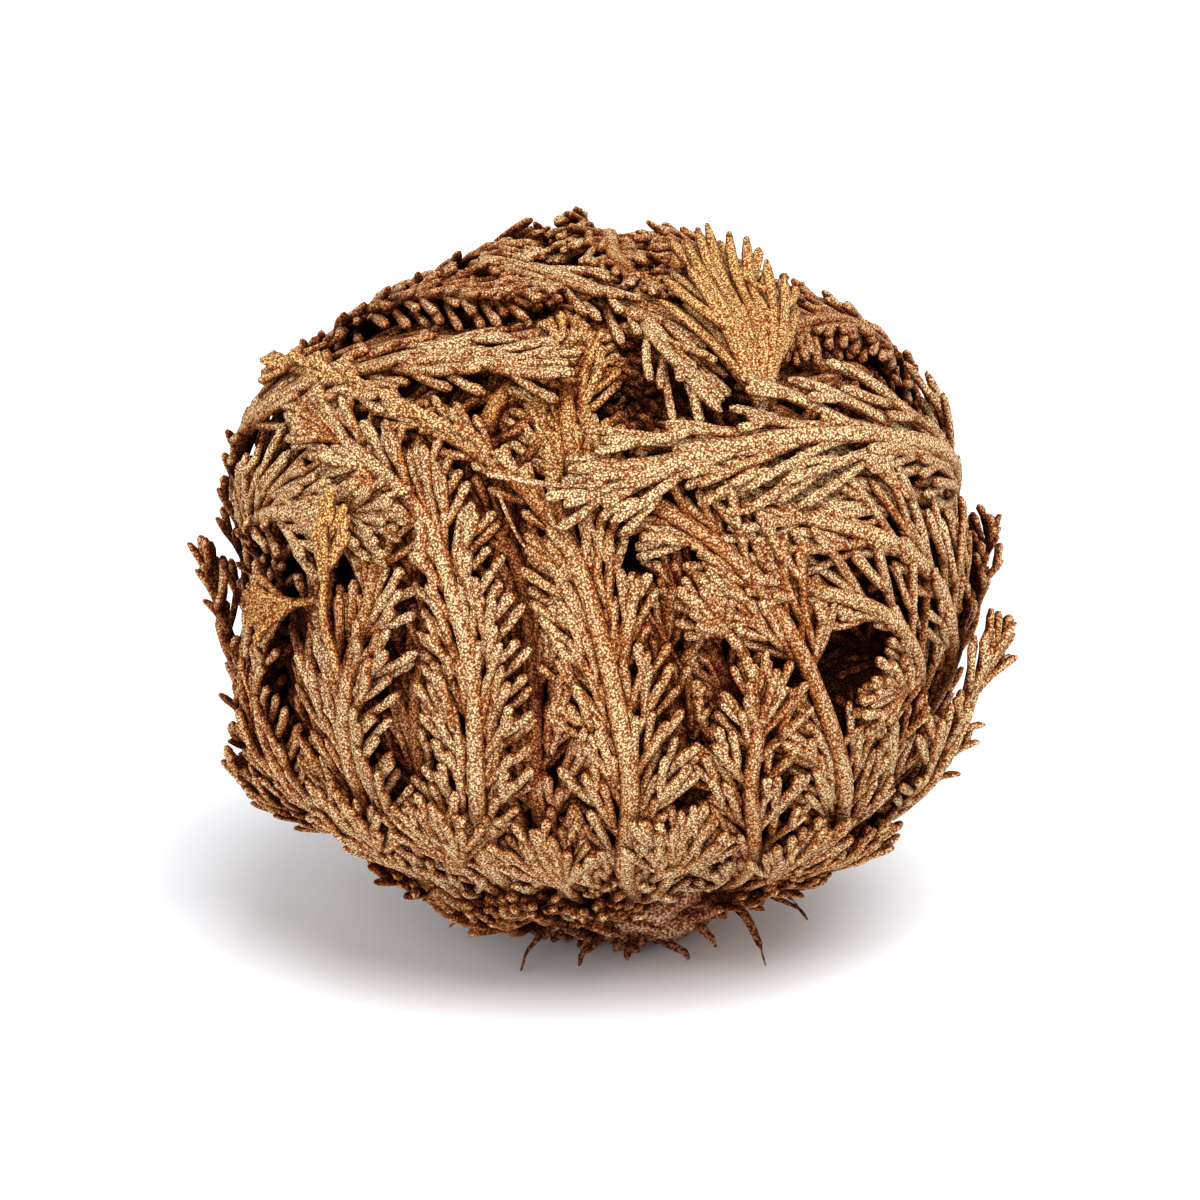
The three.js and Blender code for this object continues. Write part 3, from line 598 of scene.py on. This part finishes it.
def grow_branches(growth, stem, habit, kinds=("branch", "twig"), name=None):
    """Branches on alternate sides of a stem."""
    random = growth.random
    count = max(0, int(2 * (stem.length - habit["bare"]) / habit["pitch"]))
    number = np.arange(count)
    side = np.where(number % 2, 1.0, -1.0)
    number = number + random.uniform(-OFF_PLACE, OFF_PLACE, count)
    share = (habit["bare"] + number * habit["pitch"] / 2) / stem.length
    direction, along, depth = stem.at(share)
    least, most = habit["close"]
    closing = np.clip(CLOSING * np.minimum(share - least, most - share), 0, 1)
    angle = np.radians(random.normal(habit["angle"], ANGLE_SPREAD, count) * (1 - CLOSED * closing))
    heading = turned(along, direction, (-side * angle)[:, None])
    bend = side * np.radians(random.normal(habit["bend"], BEND_SPREAD, count)) / 10
    length = habit["reach"] * (1 - TAPER * share**3) * (1 - SHORTENED * closing)
    length = length * growth.draw("length", count)
    if name and count:
        length = clear_reach(name, direction, heading, angle, bend, depth, length, habit["room"])
    keep = (length >= SHORTEST) & ~(over_gap(direction) & bool(name))
    if keep.any():
        grown = (values[keep] for values in (direction, heading, depth, length, bend, side))
        grow_fan(growth, kinds, *grown, habit, share[keep])


def grow_tip(growth, stem, habit):
    """The fan of branches that a stem ends in."""
    count, half_angle, longest = habit["tip"]
    turn = np.radians(np.linspace(-half_angle, half_angle, count))
    direction, heading, depth = (np.repeat(v, count, axis=0) for v in stem.at(np.array([TIP_AT])))
    heading = turned(heading, direction, turn[:, None])
    length = longest * (1 - TIP_ROUNDING * np.abs(np.linspace(-1, 1, count)) ** 1.5)
    length = length * growth.draw("tip length", count)
    bend = -turn / (2 * length)
    grow_fan(growth, ("branch", "twig"), direction, heading, depth - SINK, length, bend, np.zeros(count),
             habit, np.ones(count))


def grow_stem(growth, stem, width, tone, gold):
    directions, headings, depths = stem.evenly(STEM_STEP)
    path = (directions[None], headings[None], depths[None])
    growth.stamp("stem", *path, width / 2, STEM_FLATNESS, tone, gold)


def grow_sprig(growth, sprig):
    habit = {**HABIT, **sprig}
    stem = Stem([bearing(*place) for place in sprig["way"]], sprig["depth"])
    grow_stem(growth, stem, sprig["width"], habit["tone"], habit["gold"])
    if habit["tip"][0]:
        grow_tip(growth, stem, habit)


def grow_frond(name, habit, number, sizes):
    growth = Growth(SEEDS["fronds"] + number, sizes)
    stem = frond_stem(habit)
    foot_tone, tip_tone = habit["tone"]
    grow_stem(growth, stem, STEM_WIDTH, (foot_tone + STEM_LIGHT, tip_tone), habit["gold"])
    grow_branches(growth, stem, habit, name=name)
    grow_tip(growth, stem, habit)
    for sprig in SPRIGS:
        if sprig["on"] == name:
            grow_sprig(growth, sprig)
    return growth.made(name + "_scaly")


def grow_low_fans(sizes):
    """Rings of short fronds round the rootstock, which end in a wide fan each."""
    growth = Growth(SEEDS["low fans"], sizes)
    random = growth.random
    for ring in LOW:
        habit = {**HABIT, **ring}
        for number in range(ring["count"]):
            azimuth = 360 * (number + random.uniform(-OFF_PLACE, OFF_PLACE)) / ring["count"]
            lean = random.normal(0, ring["lean"])
            lift = growth.draw("fan rise")
            heights = enumerate(ring["elevations"])
            way = [bearing(azimuth + lean * i, height + lift * i) for i, height in heights]
            foot_depth, tip_depth = ring["depth"]
            stem = Stem(way, (foot_depth, tip_depth + growth.draw("fan depth")))
            grow_stem(growth, stem, LOW_STEM_WIDTH, habit["tone"], habit["gold"])
            grow_tip(growth, stem, habit)
    return growth.made("low_fans")


class YoungStem(Stem):
    """A stem that falls back where the heart does."""

    def at(self, share):
        directions, headings, depths = super().at(share)
        return directions, headings, depths - bumps(GAPS, directions)


def young_stem(number):
    """A young frond's way: from under the heart, winding up into the eye."""
    eye = Vector(bearing(*EYE))
    turn = eye.to_track_quat("Z", "Y")
    points = []
    for polar in np.linspace(YOUNG["from"], YOUNG["to"], 9):
        a = 2 * math.pi * number / YOUNG["count"] + YOUNG["twist"] * math.radians(polar)
        p = math.radians(polar)
        point = Vector((math.sin(p) * math.cos(a), math.sin(p) * math.sin(a), math.cos(p)))
        points.append(np.array(turn @ point))
    return YoungStem(points, (YOUNG["depth"], YOUNG["depth"]))


def grow_heart(sizes):
    habit = {**HABIT, **YOUNG}
    growth = Growth(SEEDS["heart"], sizes)
    for number in range(YOUNG["count"]):
        stem = young_stem(number)
        grow_stem(growth, stem, YOUNG_STEM_WIDTH, habit["tone"], habit["gold"])
        grow_branches(growth, stem, habit, ("young", "young"))
    return growth.made("young_fronds")


# ---- Rootstock -----------------------------------------------------------------------------------

# Height and radius of the crown's outline from its flat spot up.
CROWN_OUTLINE = [(0, 7), (1.2, 8.6), (3.4, 11.6), (6.4, 15.6), (9.4, 18), (13, 17), (16, 12.4), (18, 6.6)]
CROWN_SIDES = 64
CROWN_START = 1.0  # height of the cylinder that the crown is raised from
CROWN_ROUGHNESS = (("lumps", "CLOUDS", 2.6, 1.8), ("scales", "VORONOI", 1.1, 0.9))  # size and strength
BARK_TONE, BARK_RELIEF_SHADE = 0.45, 0.25  # tone on the outline, and how much lighter it is a mm outside: painted light where the bark stands out, painted shade where it sinks in
# The stubs of old stems: their heights, the crown's radius at height 0 and its growth, how much less
# it is to the right, how far they start inside, how far they stand out and hang down, and their radius.
STUBS = {
    "count": 380, "heights": (1.3, 10.5), "radius": (6.6, 1.2), "widest": 18.6, "aside": 0.26,
    "inside": (1.4, 0.7), "out": (0.3, 1.3), "down": (0.2, 1.2), "lowest": 0.9, "thick": (0.5, 0.95),
    "tone": (0.2, 0.85),
}
# Knobs of the crown: their height as a share of its radius, how many go round it, how far each row
# winds in a mm, and the height over which they rise.
KNOBS = {"size": 0.07, "around": (5, 8), "twist": (0.5, -0.9), "fade": 4}
ROOTLET = {"inside": (4, 2), "crook": 0.7, "lowest": 0.5, "thick": (0.75, 0.95), "tone": 0.3}
TUBE_LIGHT = 0.25  # how much lighter the end of a rootlet or stub is
# Where each rootlet comes out and ends: bearing, distance from the axis and height.
ROOTLETS = [
    ((-60, 18.4, 6.8), (-62, 25, 4.6)), ((-38, 16.6, 5), (-41, 20.5, 0.2)),
    ((-17, 15, 3.8), (-21, 18, 1.7)),
    ((0, 11.6, 2.4), (-3, 14.6, 1.5)), ((20, 12, 2.4), (25, 15.6, 1.5)), ((33, 15.5, 4.6), (34, 17.6, 3.2)),
    ((50, 17.6, 5.8), (49, 21, 0.2)), ((68, 18.4, 6.6), (70, 22.4, 4)), ((98, 16.6, 5), (94, 20.4, 2)),
    ((134, 16.6, 5), (137, 20.5, 0.2)), ((168, 17, 5.4), (162, 21, 2.4)),
    ((-138, 16.6, 5), (-135, 20.5, 0.2)),
    ((-102, 17, 5.4), (-108, 21.4, 2.4)),
]


def crown_point(azimuth, distance, height):
    return bearing(azimuth, 0) * distance + np.array([0, 0, height])


def tube(growth, kind, points, radius, tone):
    """A cord along points in space, in millimetres."""
    curve = smooth_way(np.array(points, dtype=float), 6)
    away = curve - CENTRE
    directions = unit(away)
    depths = ball_radius(directions) - np.linalg.norm(away, axis=1)
    headings = flatten(np.gradient(curve, axis=0), directions)
    level = tone + DEEPEN * (depths.mean() - OUTER)
    path = (directions[None], headings[None], depths[None])
    growth.stamp(kind, *path, radius, 1.0, (level, level + TUBE_LIGHT), (0, 0))


def grow_rootlets(sizes):
    """Wiry rootlets, and the stubs of old stems between them."""
    growth = Growth(SEEDS["rootlets"], sizes)
    random = growth.random
    for start, end in ROOTLETS:
        inside = (start[0], start[1] - ROOTLET["inside"][0], start[2] + ROOTLET["inside"][1])
        crook = (end[0], start[1] + ROOTLET["crook"] * (end[1] - start[1]), (start[2] + end[2]) / 2)
        stop = (end[0], end[1], max(end[2], ROOTLET["lowest"]))
        path = [crown_point(*p) for p in (inside, start, crook, stop)]
        tube(growth, "root", path, random.uniform(*ROOTLET["thick"]), ROOTLET["tone"])
    for _ in range(STUBS["count"]):
        azimuth = random.uniform(-180, 180)
        height = random.uniform(*STUBS["heights"])
        reach = min(STUBS["radius"][0] + STUBS["radius"][1] * height, STUBS["widest"])
        reach = (reach + growth.draw("stub place")) * (1 - STUBS["aside"] * math.sin(math.radians(azimuth)))
        lean = growth.draw("stub lean")
        base = crown_point(azimuth, reach - STUBS["inside"][0], height + STUBS["inside"][1])
        middle = crown_point(azimuth + lean * 0.3, reach + 0.1, height)
        out, down = random.uniform(*STUBS["out"]), random.uniform(*STUBS["down"])
        end = crown_point(azimuth + lean, reach + out, max(height - down, STUBS["lowest"]))
        radius, tone = random.uniform(*STUBS["thick"]), random.uniform(*STUBS["tone"])
        tube(growth, "young", [base, middle, end], radius, tone)
    return growth.made("rootlets")


def model_crown():
    """The knobbly crown: a spun outline with knobs, roughened by two displacements."""
    bpy.ops.object.select_all(action="DESELECT")
    bpy.ops.mesh.primitive_cylinder_add(
        vertices=CROWN_SIDES, radius=CROWN_OUTLINE[0][1] * MM, depth=CROWN_START * MM,
        end_fill_type="NGON", location=(0, 0, CROWN_START / 2 * MM))
    crown = bpy.context.object
    crown.name = crown.data.name = "rootstock_bark"
    bpy.ops.object.mode_set(mode="EDIT")
    bpy.ops.mesh.select_all(action="DESELECT")
    bpy.ops.object.mode_set(mode="OBJECT")
    for face in crown.data.polygons:
        face.select = face.normal.z > 0.9
    bpy.ops.object.mode_set(mode="EDIT")
    outline = smooth_way(np.array(CROWN_OUTLINE, dtype=float), 4)
    above = [(height, radius) for height, radius in outline if height > CROWN_START]
    raise_rings([(CROWN_START, CROWN_OUTLINE[0][1]), *above], MM)
    face_outwards()
    bpy.ops.object.mode_set(mode="OBJECT")
    for corner in crown.data.vertices:
        azimuth = math.atan2(corner.co.y, corner.co.x)
        z = corner.co.z / MM
        wave = sum(math.sin(KNOBS["around"][i] * azimuth + KNOBS["twist"][i] * z + i) for i in range(2))
        share = 1 + KNOBS["size"] * wave * min(1, z / KNOBS["fade"])
        corner.co.x *= share
        corner.co.y *= share
    for name, kind, size, strength in CROWN_ROUGHNESS:
        texture = bpy.data.textures.new("crown_" + name, kind)
        texture.noise_scale = size * MM
        displace = crown.modifiers.new(name, "DISPLACE")
        displace.texture = texture
        displace.texture_coords = "LOCAL"
        displace.mid_level = 0.5
        displace.strength = strength * MM
        if kind == "CLOUDS":
            subdivide = crown.modifiers.new("finer", "SUBSURF")
            subdivide.levels = subdivide.render_levels = 1
    for modifier in [m.name for m in crown.modifiers]:
        bpy.ops.object.modifier_apply(modifier=modifier)
    for corner in crown.data.vertices:
        corner.co.z = max(corner.co.z, 0.0)
    crown.data.polygons.foreach_set("use_smooth", [True] * len(crown.data.polygons))
    growth = crown.data.color_attributes.new("growth", "FLOAT_COLOR", "POINT")
    for corner, colour in zip(crown.data.vertices, growth.data):
        # Painted light where the bark stands out of its outline, painted shade where it sinks in.
        radius = math.hypot(corner.co.x, corner.co.y) / MM
        bump = radius - np.interp(corner.co.z / MM, *zip(*CROWN_OUTLINE))
        colour.color = (min(max(BARK_TONE + BARK_RELIEF_SHADE * bump, 0), 1), 0.5, 0, 1)
    return crown


# ---- Hollows: painted shade in them and painted light on what stands out -------------------------

def cells(directions):
    """Face, row and column of each direction on a cube round the ball."""
    size = np.abs(directions)
    axis = np.argmax(size, axis=1)
    rows = np.arange(len(directions))
    face = axis + 3 * (directions[rows, axis] > 0)
    flat = directions / size[rows, axis][:, None]
    across = np.stack([flat[rows, (axis + 1) % 3], flat[rows, (axis + 2) % 3]])
    row, column = np.clip((across + 1) / 2 * CELLS, 0, CELLS - 1).astype(int)
    return face, row, column


def mean_round(heights):
    """Mean of the heights of the filled cells round each cell."""
    filled = np.isfinite(heights)
    known = np.where(filled, heights, 0)
    total, count = np.zeros(heights.shape), np.zeros(heights.shape)
    for i in range(-WINDOW, WINDOW + 1):
        for j in range(-WINDOW, WINDOW + 1):
            total += np.roll(known, (i, j), axis=(1, 2))
            count += np.roll(filled, (i, j), axis=(1, 2))
    return total / np.maximum(count, 1)


def shade_hollows(pieces):
    """Paints shade on the growth that lies in the hollows between the cords, and paints light on what
    stands out.
    """
    found = []
    highest = np.full((6, CELLS, CELLS), -np.inf)
    for piece in pieces:
        corners = np.empty(3 * len(piece.data.vertices))
        piece.data.vertices.foreach_get("co", corners)
        away = corners.reshape(-1, 3) / MM - CENTRE
        directions = unit(away)
        height = np.linalg.norm(away, axis=1) - ball_radius(directions)
        spots = cells(directions)
        np.maximum.at(highest, spots, height)
        found.append((piece, spots, height))
    level = mean_round(highest)
    for piece, spots, height in found:
        growth = piece.data.color_attributes["growth"]
        colours = np.empty(4 * len(height))
        growth.data.foreach_get("color", colours)
        colours = colours.reshape(-1, 4)
        # Painted shade where growth lies below its surroundings, painted light where it stands above them.
        under = np.clip(level[spots] - height, *HOLLOW_LIMITS)
        colours[:, 0] = np.clip(colours[:, 0] - HOLLOW * under, 0, 1)
        growth.data.foreach_set("color", colours.ravel())


# ---- Materials -----------------------------------------------------------------------------------

def linear(red, green, blue):
    """A colour given as 0 to 255 on screen, as Blender's linear values."""
    screen = (value / 255 for value in (red, green, blue))
    return tuple(v / 12.92 if v <= 0.04045 else ((v + 0.055) / 1.055) ** 2.4 for v in screen) + (1.0,)


# Colours of the finishes: of the lightest, the middling and the darkest growth. The painted shade of sides,
# hollows and depths turns growth towards the darkest.
SKINS = {
    "frond tan": ((255, 226, 174), (206, 130, 64), (82, 22, 1)),
    "frond amber": ((255, 224, 168), (214, 142, 72), (104, 36, 2)),
    "frond brown": ((246, 206, 154), (190, 116, 62), (80, 24, 2)),
    "heart skin": ((220, 160, 104), (166, 94, 46), (66, 20, 2)),
    "heart core": ((196, 136, 84), (160, 92, 46), (116, 60, 26)),
    "root bark": ((238, 192, 150), (198, 134, 90), (94, 44, 20)),
}
# Colours that they share: of golden growth, and the painted shade that darkens the crevices between the
# scales.
AMBER, CREVICE_SHADE = (244, 182, 84), (134, 74, 40)
BARK_SCALES = 1.3  # size of the scales of the bark against those of the fronds
RELIEF = 0.00025  # height of the scales in metres
ROUGHNESS, SPECULAR = 0.9, 0.1
# Scale, detail and strength of the noise that the tone varies by.
PATCHES, FLECKS = (90.0, 2.0, 1.3), (1400.0, 1.0, 0.9)
OWN_TONE = 0.26  # how much the tone varies from one cord to the next
# Distances from the middle of a scale where it starts to fall and where the painted shade of the crevice is
# darkest.
SCALE_EDGE = {"From Min": 0.3, "From Max": 0.78, "To Min": 1.0, "To Max": 0.0}


def set_inputs(node, values):
    for name, value in values.items():
        node.inputs[name].default_value = value


def scaly_skin_group():
    """Node group: overlapping scales, light on their backs and with painted shade in the crevices between
    them.
    """
    group = bpy.data.node_groups.new("scaly skin", "ShaderNodeTree")
    for name in ("Light", "Middle", "Dark", "Amber", "Crevice"):
        group.interface.new_socket(name=name, in_out="INPUT", socket_type="NodeSocketColor")
    group.interface.new_socket(name="Scale size", in_out="INPUT", socket_type="NodeSocketFloat")
    group.interface.new_socket(name="Color", in_out="OUTPUT", socket_type="NodeSocketColor")
    group.interface.new_socket(name="Height", in_out="OUTPUT", socket_type="NodeSocketFloat")
    nodes, links = group.nodes, group.links
    given = nodes.new("NodeGroupInput")
    result = nodes.new("NodeGroupOutput")
    places = nodes.new("ShaderNodeTexCoord")

    def feed(sockets, values):
        for socket, value in zip(sockets, values):
            if isinstance(value, (int, float)):
                socket.default_value = value
            else:
                links.new(value, socket)

    def math_node(operation, *values, clamp=False):
        node = nodes.new("ShaderNodeMath")
        node.operation, node.use_clamp = operation, clamp
        feed(node.inputs, values)
        return node.outputs[0]

    def mix(share, first, second, blend="MIX"):
        node = nodes.new("ShaderNodeMix")
        node.data_type, node.blend_type, node.clamp_factor = "RGBA", blend, True
        feed((node.inputs[0], node.inputs[6], node.inputs[7]), (share, first, second))
        return node.outputs[2]

    def centred(value, strength):
        return math_node("MULTIPLY_ADD", value, strength, -strength / 2)

    def noise(scale, detail, strength):
        node = nodes.new("ShaderNodeTexNoise")
        set_inputs(node, {"Scale": scale, "Detail": detail})
        links.new(places.outputs["Object"], node.inputs["Vector"])
        return centred(node.outputs["Fac"], strength)

    scales = nodes.new("ShaderNodeTexVoronoi")
    links.new(places.outputs["Object"], scales.inputs["Vector"])
    links.new(math_node("DIVIDE", 1.0, given.outputs["Scale size"]), scales.inputs["Scale"])
    back = nodes.new("ShaderNodeMapRange")
    back.interpolation_type = "SMOOTHSTEP"
    links.new(scales.outputs["Distance"], back.inputs["Value"])
    set_inputs(back, SCALE_EDGE)
    growth = nodes.new("ShaderNodeAttribute")
    growth.attribute_name = "growth"
    parts = nodes.new("ShaderNodeSeparateColor")
    links.new(growth.outputs["Color"], parts.inputs[0])
    tone, own, amber = parts.outputs[0], parts.outputs[1], parts.outputs[2]

    mottle = math_node("MULTIPLY_ADD", noise(*PATCHES), 0.4, noise(*FLECKS))
    level = math_node("ADD", math_node("ADD", tone, centred(own, OWN_TONE)), mottle)
    low = math_node("MULTIPLY", level, 2.0, clamp=True)
    body = mix(low, given.outputs["Dark"], given.outputs["Middle"])
    high = math_node("MULTIPLY_ADD", level, 2.0, -1.0, clamp=True)
    body = mix(high, body, given.outputs["Light"])
    yellow = math_node("MULTIPLY", math_node("MULTIPLY", amber, high), 0.9, clamp=True)
    body = mix(yellow, body, given.outputs["Amber"])
    # Painted shade in the crevices between the scales.
    crevice = math_node("SUBTRACT", 1.0, back.outputs["Result"])
    links.new(mix(crevice, body, given.outputs["Crevice"], "MULTIPLY"), result.inputs["Color"])
    links.new(back.outputs["Result"], result.inputs["Height"])
    return group


def matte(name):
    """A dull material and its shader."""
    material = bpy.data.materials.new(name)
    material.use_nodes = True
    shader = material.node_tree.nodes["Principled BSDF"]
    set_inputs(shader, {"Roughness": ROUGHNESS, "Specular IOR Level": SPECULAR})
    return material, shader


def scaly_material(name, group, sizes, colors):
    material, shader = matte(name)
    nodes, links = material.node_tree.nodes, material.node_tree.links
    material.diffuse_color = (*getattr(colors, name.replace(" ", "_")), 1)
    light, _, dark = SKINS[name]
    skin = nodes.new("ShaderNodeGroup")
    skin.node_tree = group
    set_inputs(skin, {
        "Light": linear(*light), "Middle": material.diffuse_color, "Dark": linear(*dark),
        "Amber": linear(*AMBER), "Crevice": linear(*CREVICE_SHADE),
        "Scale size": sizes.scale_size * (BARK_SCALES if name == "root bark" else 1),
    })
    bump = nodes.new("ShaderNodeBump")
    set_inputs(bump, {"Strength": 1.0, "Distance": RELIEF})
    links.new(skin.outputs["Color"], shader.inputs["Base Color"])
    links.new(skin.outputs["Height"], bump.inputs["Height"])
    links.new(bump.outputs["Normal"], shader.inputs["Normal"])


def skin_material(name):
    """The material of a skin. All are made at the first call."""
    if name not in bpy.data.materials:
        group = scaly_skin_group()
        scene = bpy.context.scene
        for skin in SKINS:
            scaly_material(skin, group, scene.rose_sizes, scene.rose_colors)
    return bpy.data.materials[name]


# ---- Add-on --------------------------------------------------------------------------------------

class RoseSizes(bpy.types.PropertyGroup):
    """Sizes of the fine growth."""

    branchlet_width: bpy.props.FloatProperty(
        name="Branchlet width", description="Thickness of the cords that the fronds fork into",
        default=0.0013, min=0.0006, max=0.003, unit="LENGTH", precision=5)
    scale_size: bpy.props.FloatProperty(
        name="Scale size", description="Size of one scale of the skin",
        default=0.00028, min=0.0001, max=0.002, unit="LENGTH", precision=5)


def middle_colour(skin):
    return bpy.props.FloatVectorProperty(
        name=skin.capitalize(), description=f"Colour of the {skin} where it is neither light nor dark",
        subtype="COLOR", size=3, default=linear(*SKINS[skin][1])[:3], min=0, max=1)


class RoseColors(bpy.types.PropertyGroup):
    """Colours of the growth."""

    frond_tan: middle_colour("frond tan")
    frond_amber: middle_colour("frond amber")
    frond_brown: middle_colour("frond brown")
    heart_skin: middle_colour("heart skin")
    heart_core: middle_colour("heart core")
    root_bark: middle_colour("root bark")


class RoseLight(bpy.types.PropertyGroup):
    """Floor and light of the studio."""

    floor_color: bpy.props.FloatVectorProperty(
        name="Floor", description="Colour of the floor", subtype="COLOR", size=3,
        default=(0.9, 0.915, 0.95), min=0, max=1)
    sky: bpy.props.FloatProperty(
        name="Sky", description="Brightness of the light from all round", default=0.6, min=0, max=10)
    key: bpy.props.FloatProperty(
        name="Key", description="Strength of the key light", default=3.3, min=0, max=100)
    fill: bpy.props.FloatProperty(
        name="Fill", description="Strength of the light that fills the shadows",
        default=1.25, min=0, max=100)


def finish(piece, skin, slot, *nodes):
    """Gives a piece its material, attaches it to the root body and hides the CAD nodes that it stands for.
    slot is not used.
    """
    piece.data.materials.clear()
    piece.data.materials.append(skin_material(skin))
    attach(piece, "root")
    if nodes:
        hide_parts(*nodes)


class ROSE_OT_fronds(bpy.types.Operator):
    """Grow the scaly fronds that make up the ball"""

    bl_idname, bl_label = "rose.fronds", "Fronds"
    bl_options = {"REGISTER", "UNDO"}

    def execute(self, context):
        sizes = context.scene.rose_sizes
        for number, (name, habit) in enumerate(FRONDS.items()):
            look = habit["look"]
            piece = grow_frond(name, habit, number, sizes)
            finish(piece, "frond " + look, "frond_" + look, name)
        return {"FINISHED"}


class ROSE_OT_low_fans(bpy.types.Operator):
    """Grow the short fans that cover the feet of the fronds"""

    bl_idname, bl_label = "rose.low_fans", "Low fans"
    bl_options = {"REGISTER", "UNDO"}

    def execute(self, context):
        finish(grow_low_fans(context.scene.rose_sizes), "frond tan", "frond_tan")
        return {"FINISHED"}


class ROSE_OT_heart(bpy.types.Operator):
    """Line the heart with young fronds and darken its core"""

    bl_idname, bl_label = "rose.heart", "Heart"
    bl_options = {"REGISTER", "UNDO"}

    def execute(self, context):
        finish(grow_heart(context.scene.rose_sizes), "heart skin", "heart")
        frame["nodes"]["heart"].material_slots[0].material = skin_material("heart core")
        return {"FINISHED"}


class ROSE_OT_rootstock(bpy.types.Operator):
    """Model the knobbly rootstock with its rootlets"""

    bl_idname, bl_label = "rose.rootstock", "Rootstock"
    bl_options = {"REGISTER", "UNDO"}

    def execute(self, context):
        finish(model_crown(), "root bark", "rootstock", "rootstock")
        finish(grow_rootlets(context.scene.rose_sizes), "root bark", "rootstock")
        return {"FINISHED"}


class ROSE_OT_hollows(bpy.types.Operator):
    """Paint shade into the hollows between the cords and light onto what stands out"""

    bl_idname, bl_label = "rose.hollows", "Hollows"
    bl_options = {"REGISTER", "UNDO"}

    def execute(self, context):
        meshes = (piece for piece in context.scene.objects if piece.type == "MESH")
        pieces = [piece for piece in meshes if "growth" in piece.data.color_attributes]
        if not pieces:
            raise RuntimeError("nothing has grown yet")
        shade_hollows(pieces)
        return {"FINISHED"}


VIEW_ELEVATION = 18.0
VIEW_DISTANCE = 0.75
VIEW_WIDTH = 0.144
VIEW_DROP = 0.0042  # the aim is this far under the middle of the ball
SENSOR_WIDTH = 36
WHITE = (1, 1, 1, 1)
FLOOR_SIZE, FLOOR_DROP = 6, 0.0001
# Where the light of each lamp comes from, and how wide the lamp looks in degrees.
LAMPS = {"key": ((0.25, -0.5, 1.0), 42), "fill": ((-0.45, -1.0, 0.5), 40)}


class ROSE_OT_stage(bpy.types.Operator):
    """Set out the floor, the lights and the camera"""

    bl_idname, bl_label = "rose.stage", "Stage"
    bl_options = {"REGISTER", "UNDO"}

    def execute(self, context):
        light = context.scene.rose_light
        tilt = math.radians(VIEW_ELEVATION)
        look = Vector((0, math.cos(tilt), -math.sin(tilt)))
        up = Vector((0, math.sin(tilt), math.cos(tilt)))
        aim = Vector(CENTRE) * MM - up * VIEW_DROP
        bpy.ops.object.camera_add(location=aim - look * VIEW_DISTANCE)
        camera = context.object
        camera.rotation_euler = look.to_track_quat("-Z", "Y").to_euler()
        camera.data.sensor_width = SENSOR_WIDTH
        camera.data.lens = SENSOR_WIDTH * VIEW_DISTANCE / VIEW_WIDTH
        camera.data.clip_start, camera.data.clip_end = 0.01, 20
        context.scene.camera = camera

        bpy.ops.mesh.primitive_plane_add(size=FLOOR_SIZE, location=(0, 0, -FLOOR_DROP))
        floor = context.object
        floor.name = "floor"
        paper, shader = matte("paper floor")
        set_inputs(shader, {"Base Color": (*light.floor_color, 1)})
        floor.data.materials.append(paper)

        world = bpy.data.worlds.new("studio")
        world.use_nodes = True
        nodes, links = world.node_tree.nodes, world.node_tree.links
        soft = nodes["Background"]
        set_inputs(soft, {"Color": WHITE, "Strength": light.sky})
        backdrop = nodes.new("ShaderNodeBackground")
        set_inputs(backdrop, {"Color": WHITE})
        ray = nodes.new("ShaderNodeLightPath")
        shown = nodes.new("ShaderNodeMixShader")
        links.new(ray.outputs["Is Camera Ray"], shown.inputs[0])
        links.new(soft.outputs[0], shown.inputs[1])
        links.new(backdrop.outputs[0], shown.inputs[2])
        links.new(shown.outputs[0], nodes["World Output"].inputs["Surface"])
        context.scene.world = world
        for name, (place, angle) in LAMPS.items():
            bpy.ops.object.light_add(type="SUN", location=place)
            lamp = context.object
            lamp.name = name
            lamp.data.angle, lamp.data.energy = math.radians(angle), getattr(light, name)
            lamp.rotation_euler = (-Vector(place)).to_track_quat("-Z", "Y").to_euler()
        context.scene.view_settings.view_transform = "Standard"
        return {"FINISHED"}


class ROSE_PT_panel(bpy.types.Panel):
    """Lists the plant's sizes and the steps that build it"""

    bl_idname, bl_label = "ROSE_PT_panel", "Rose of Jericho"
    bl_space_type, bl_region_type, bl_category = "VIEW_3D", "UI", "Rose"

    def draw(self, context):
        scene = context.scene
        for group in (scene.rose_sizes, scene.rose_colors, scene.rose_light):
            for name in group.bl_rna.properties.keys():
                if name not in ("rna_type", "name"):
                    self.layout.prop(group, name)
        for operator in OPERATORS:
            self.layout.operator(operator.bl_idname)


OPERATORS = (
    ROSE_OT_stage, ROSE_OT_fronds, ROSE_OT_low_fans, ROSE_OT_heart, ROSE_OT_rootstock, ROSE_OT_hollows,
)
CLASSES = (RoseSizes, RoseColors, RoseLight, *OPERATORS, ROSE_PT_panel)


def register():
    for cls in CLASSES:
        bpy.utils.register_class(cls)
    bpy.types.Scene.rose_sizes = bpy.props.PointerProperty(type=RoseSizes)
    bpy.types.Scene.rose_colors = bpy.props.PointerProperty(type=RoseColors)
    bpy.types.Scene.rose_light = bpy.props.PointerProperty(type=RoseLight)


def unregister():
    del bpy.types.Scene.rose_light
    del bpy.types.Scene.rose_colors
    del bpy.types.Scene.rose_sizes
    for cls in reversed(CLASSES):
        bpy.utils.unregister_class(cls)


def main():
    register()
    for operator in OPERATORS:
        group, name = operator.bl_idname.split(".")
        getattr(getattr(bpy.ops, group), name)()


if __name__ == "__main__":
    main()
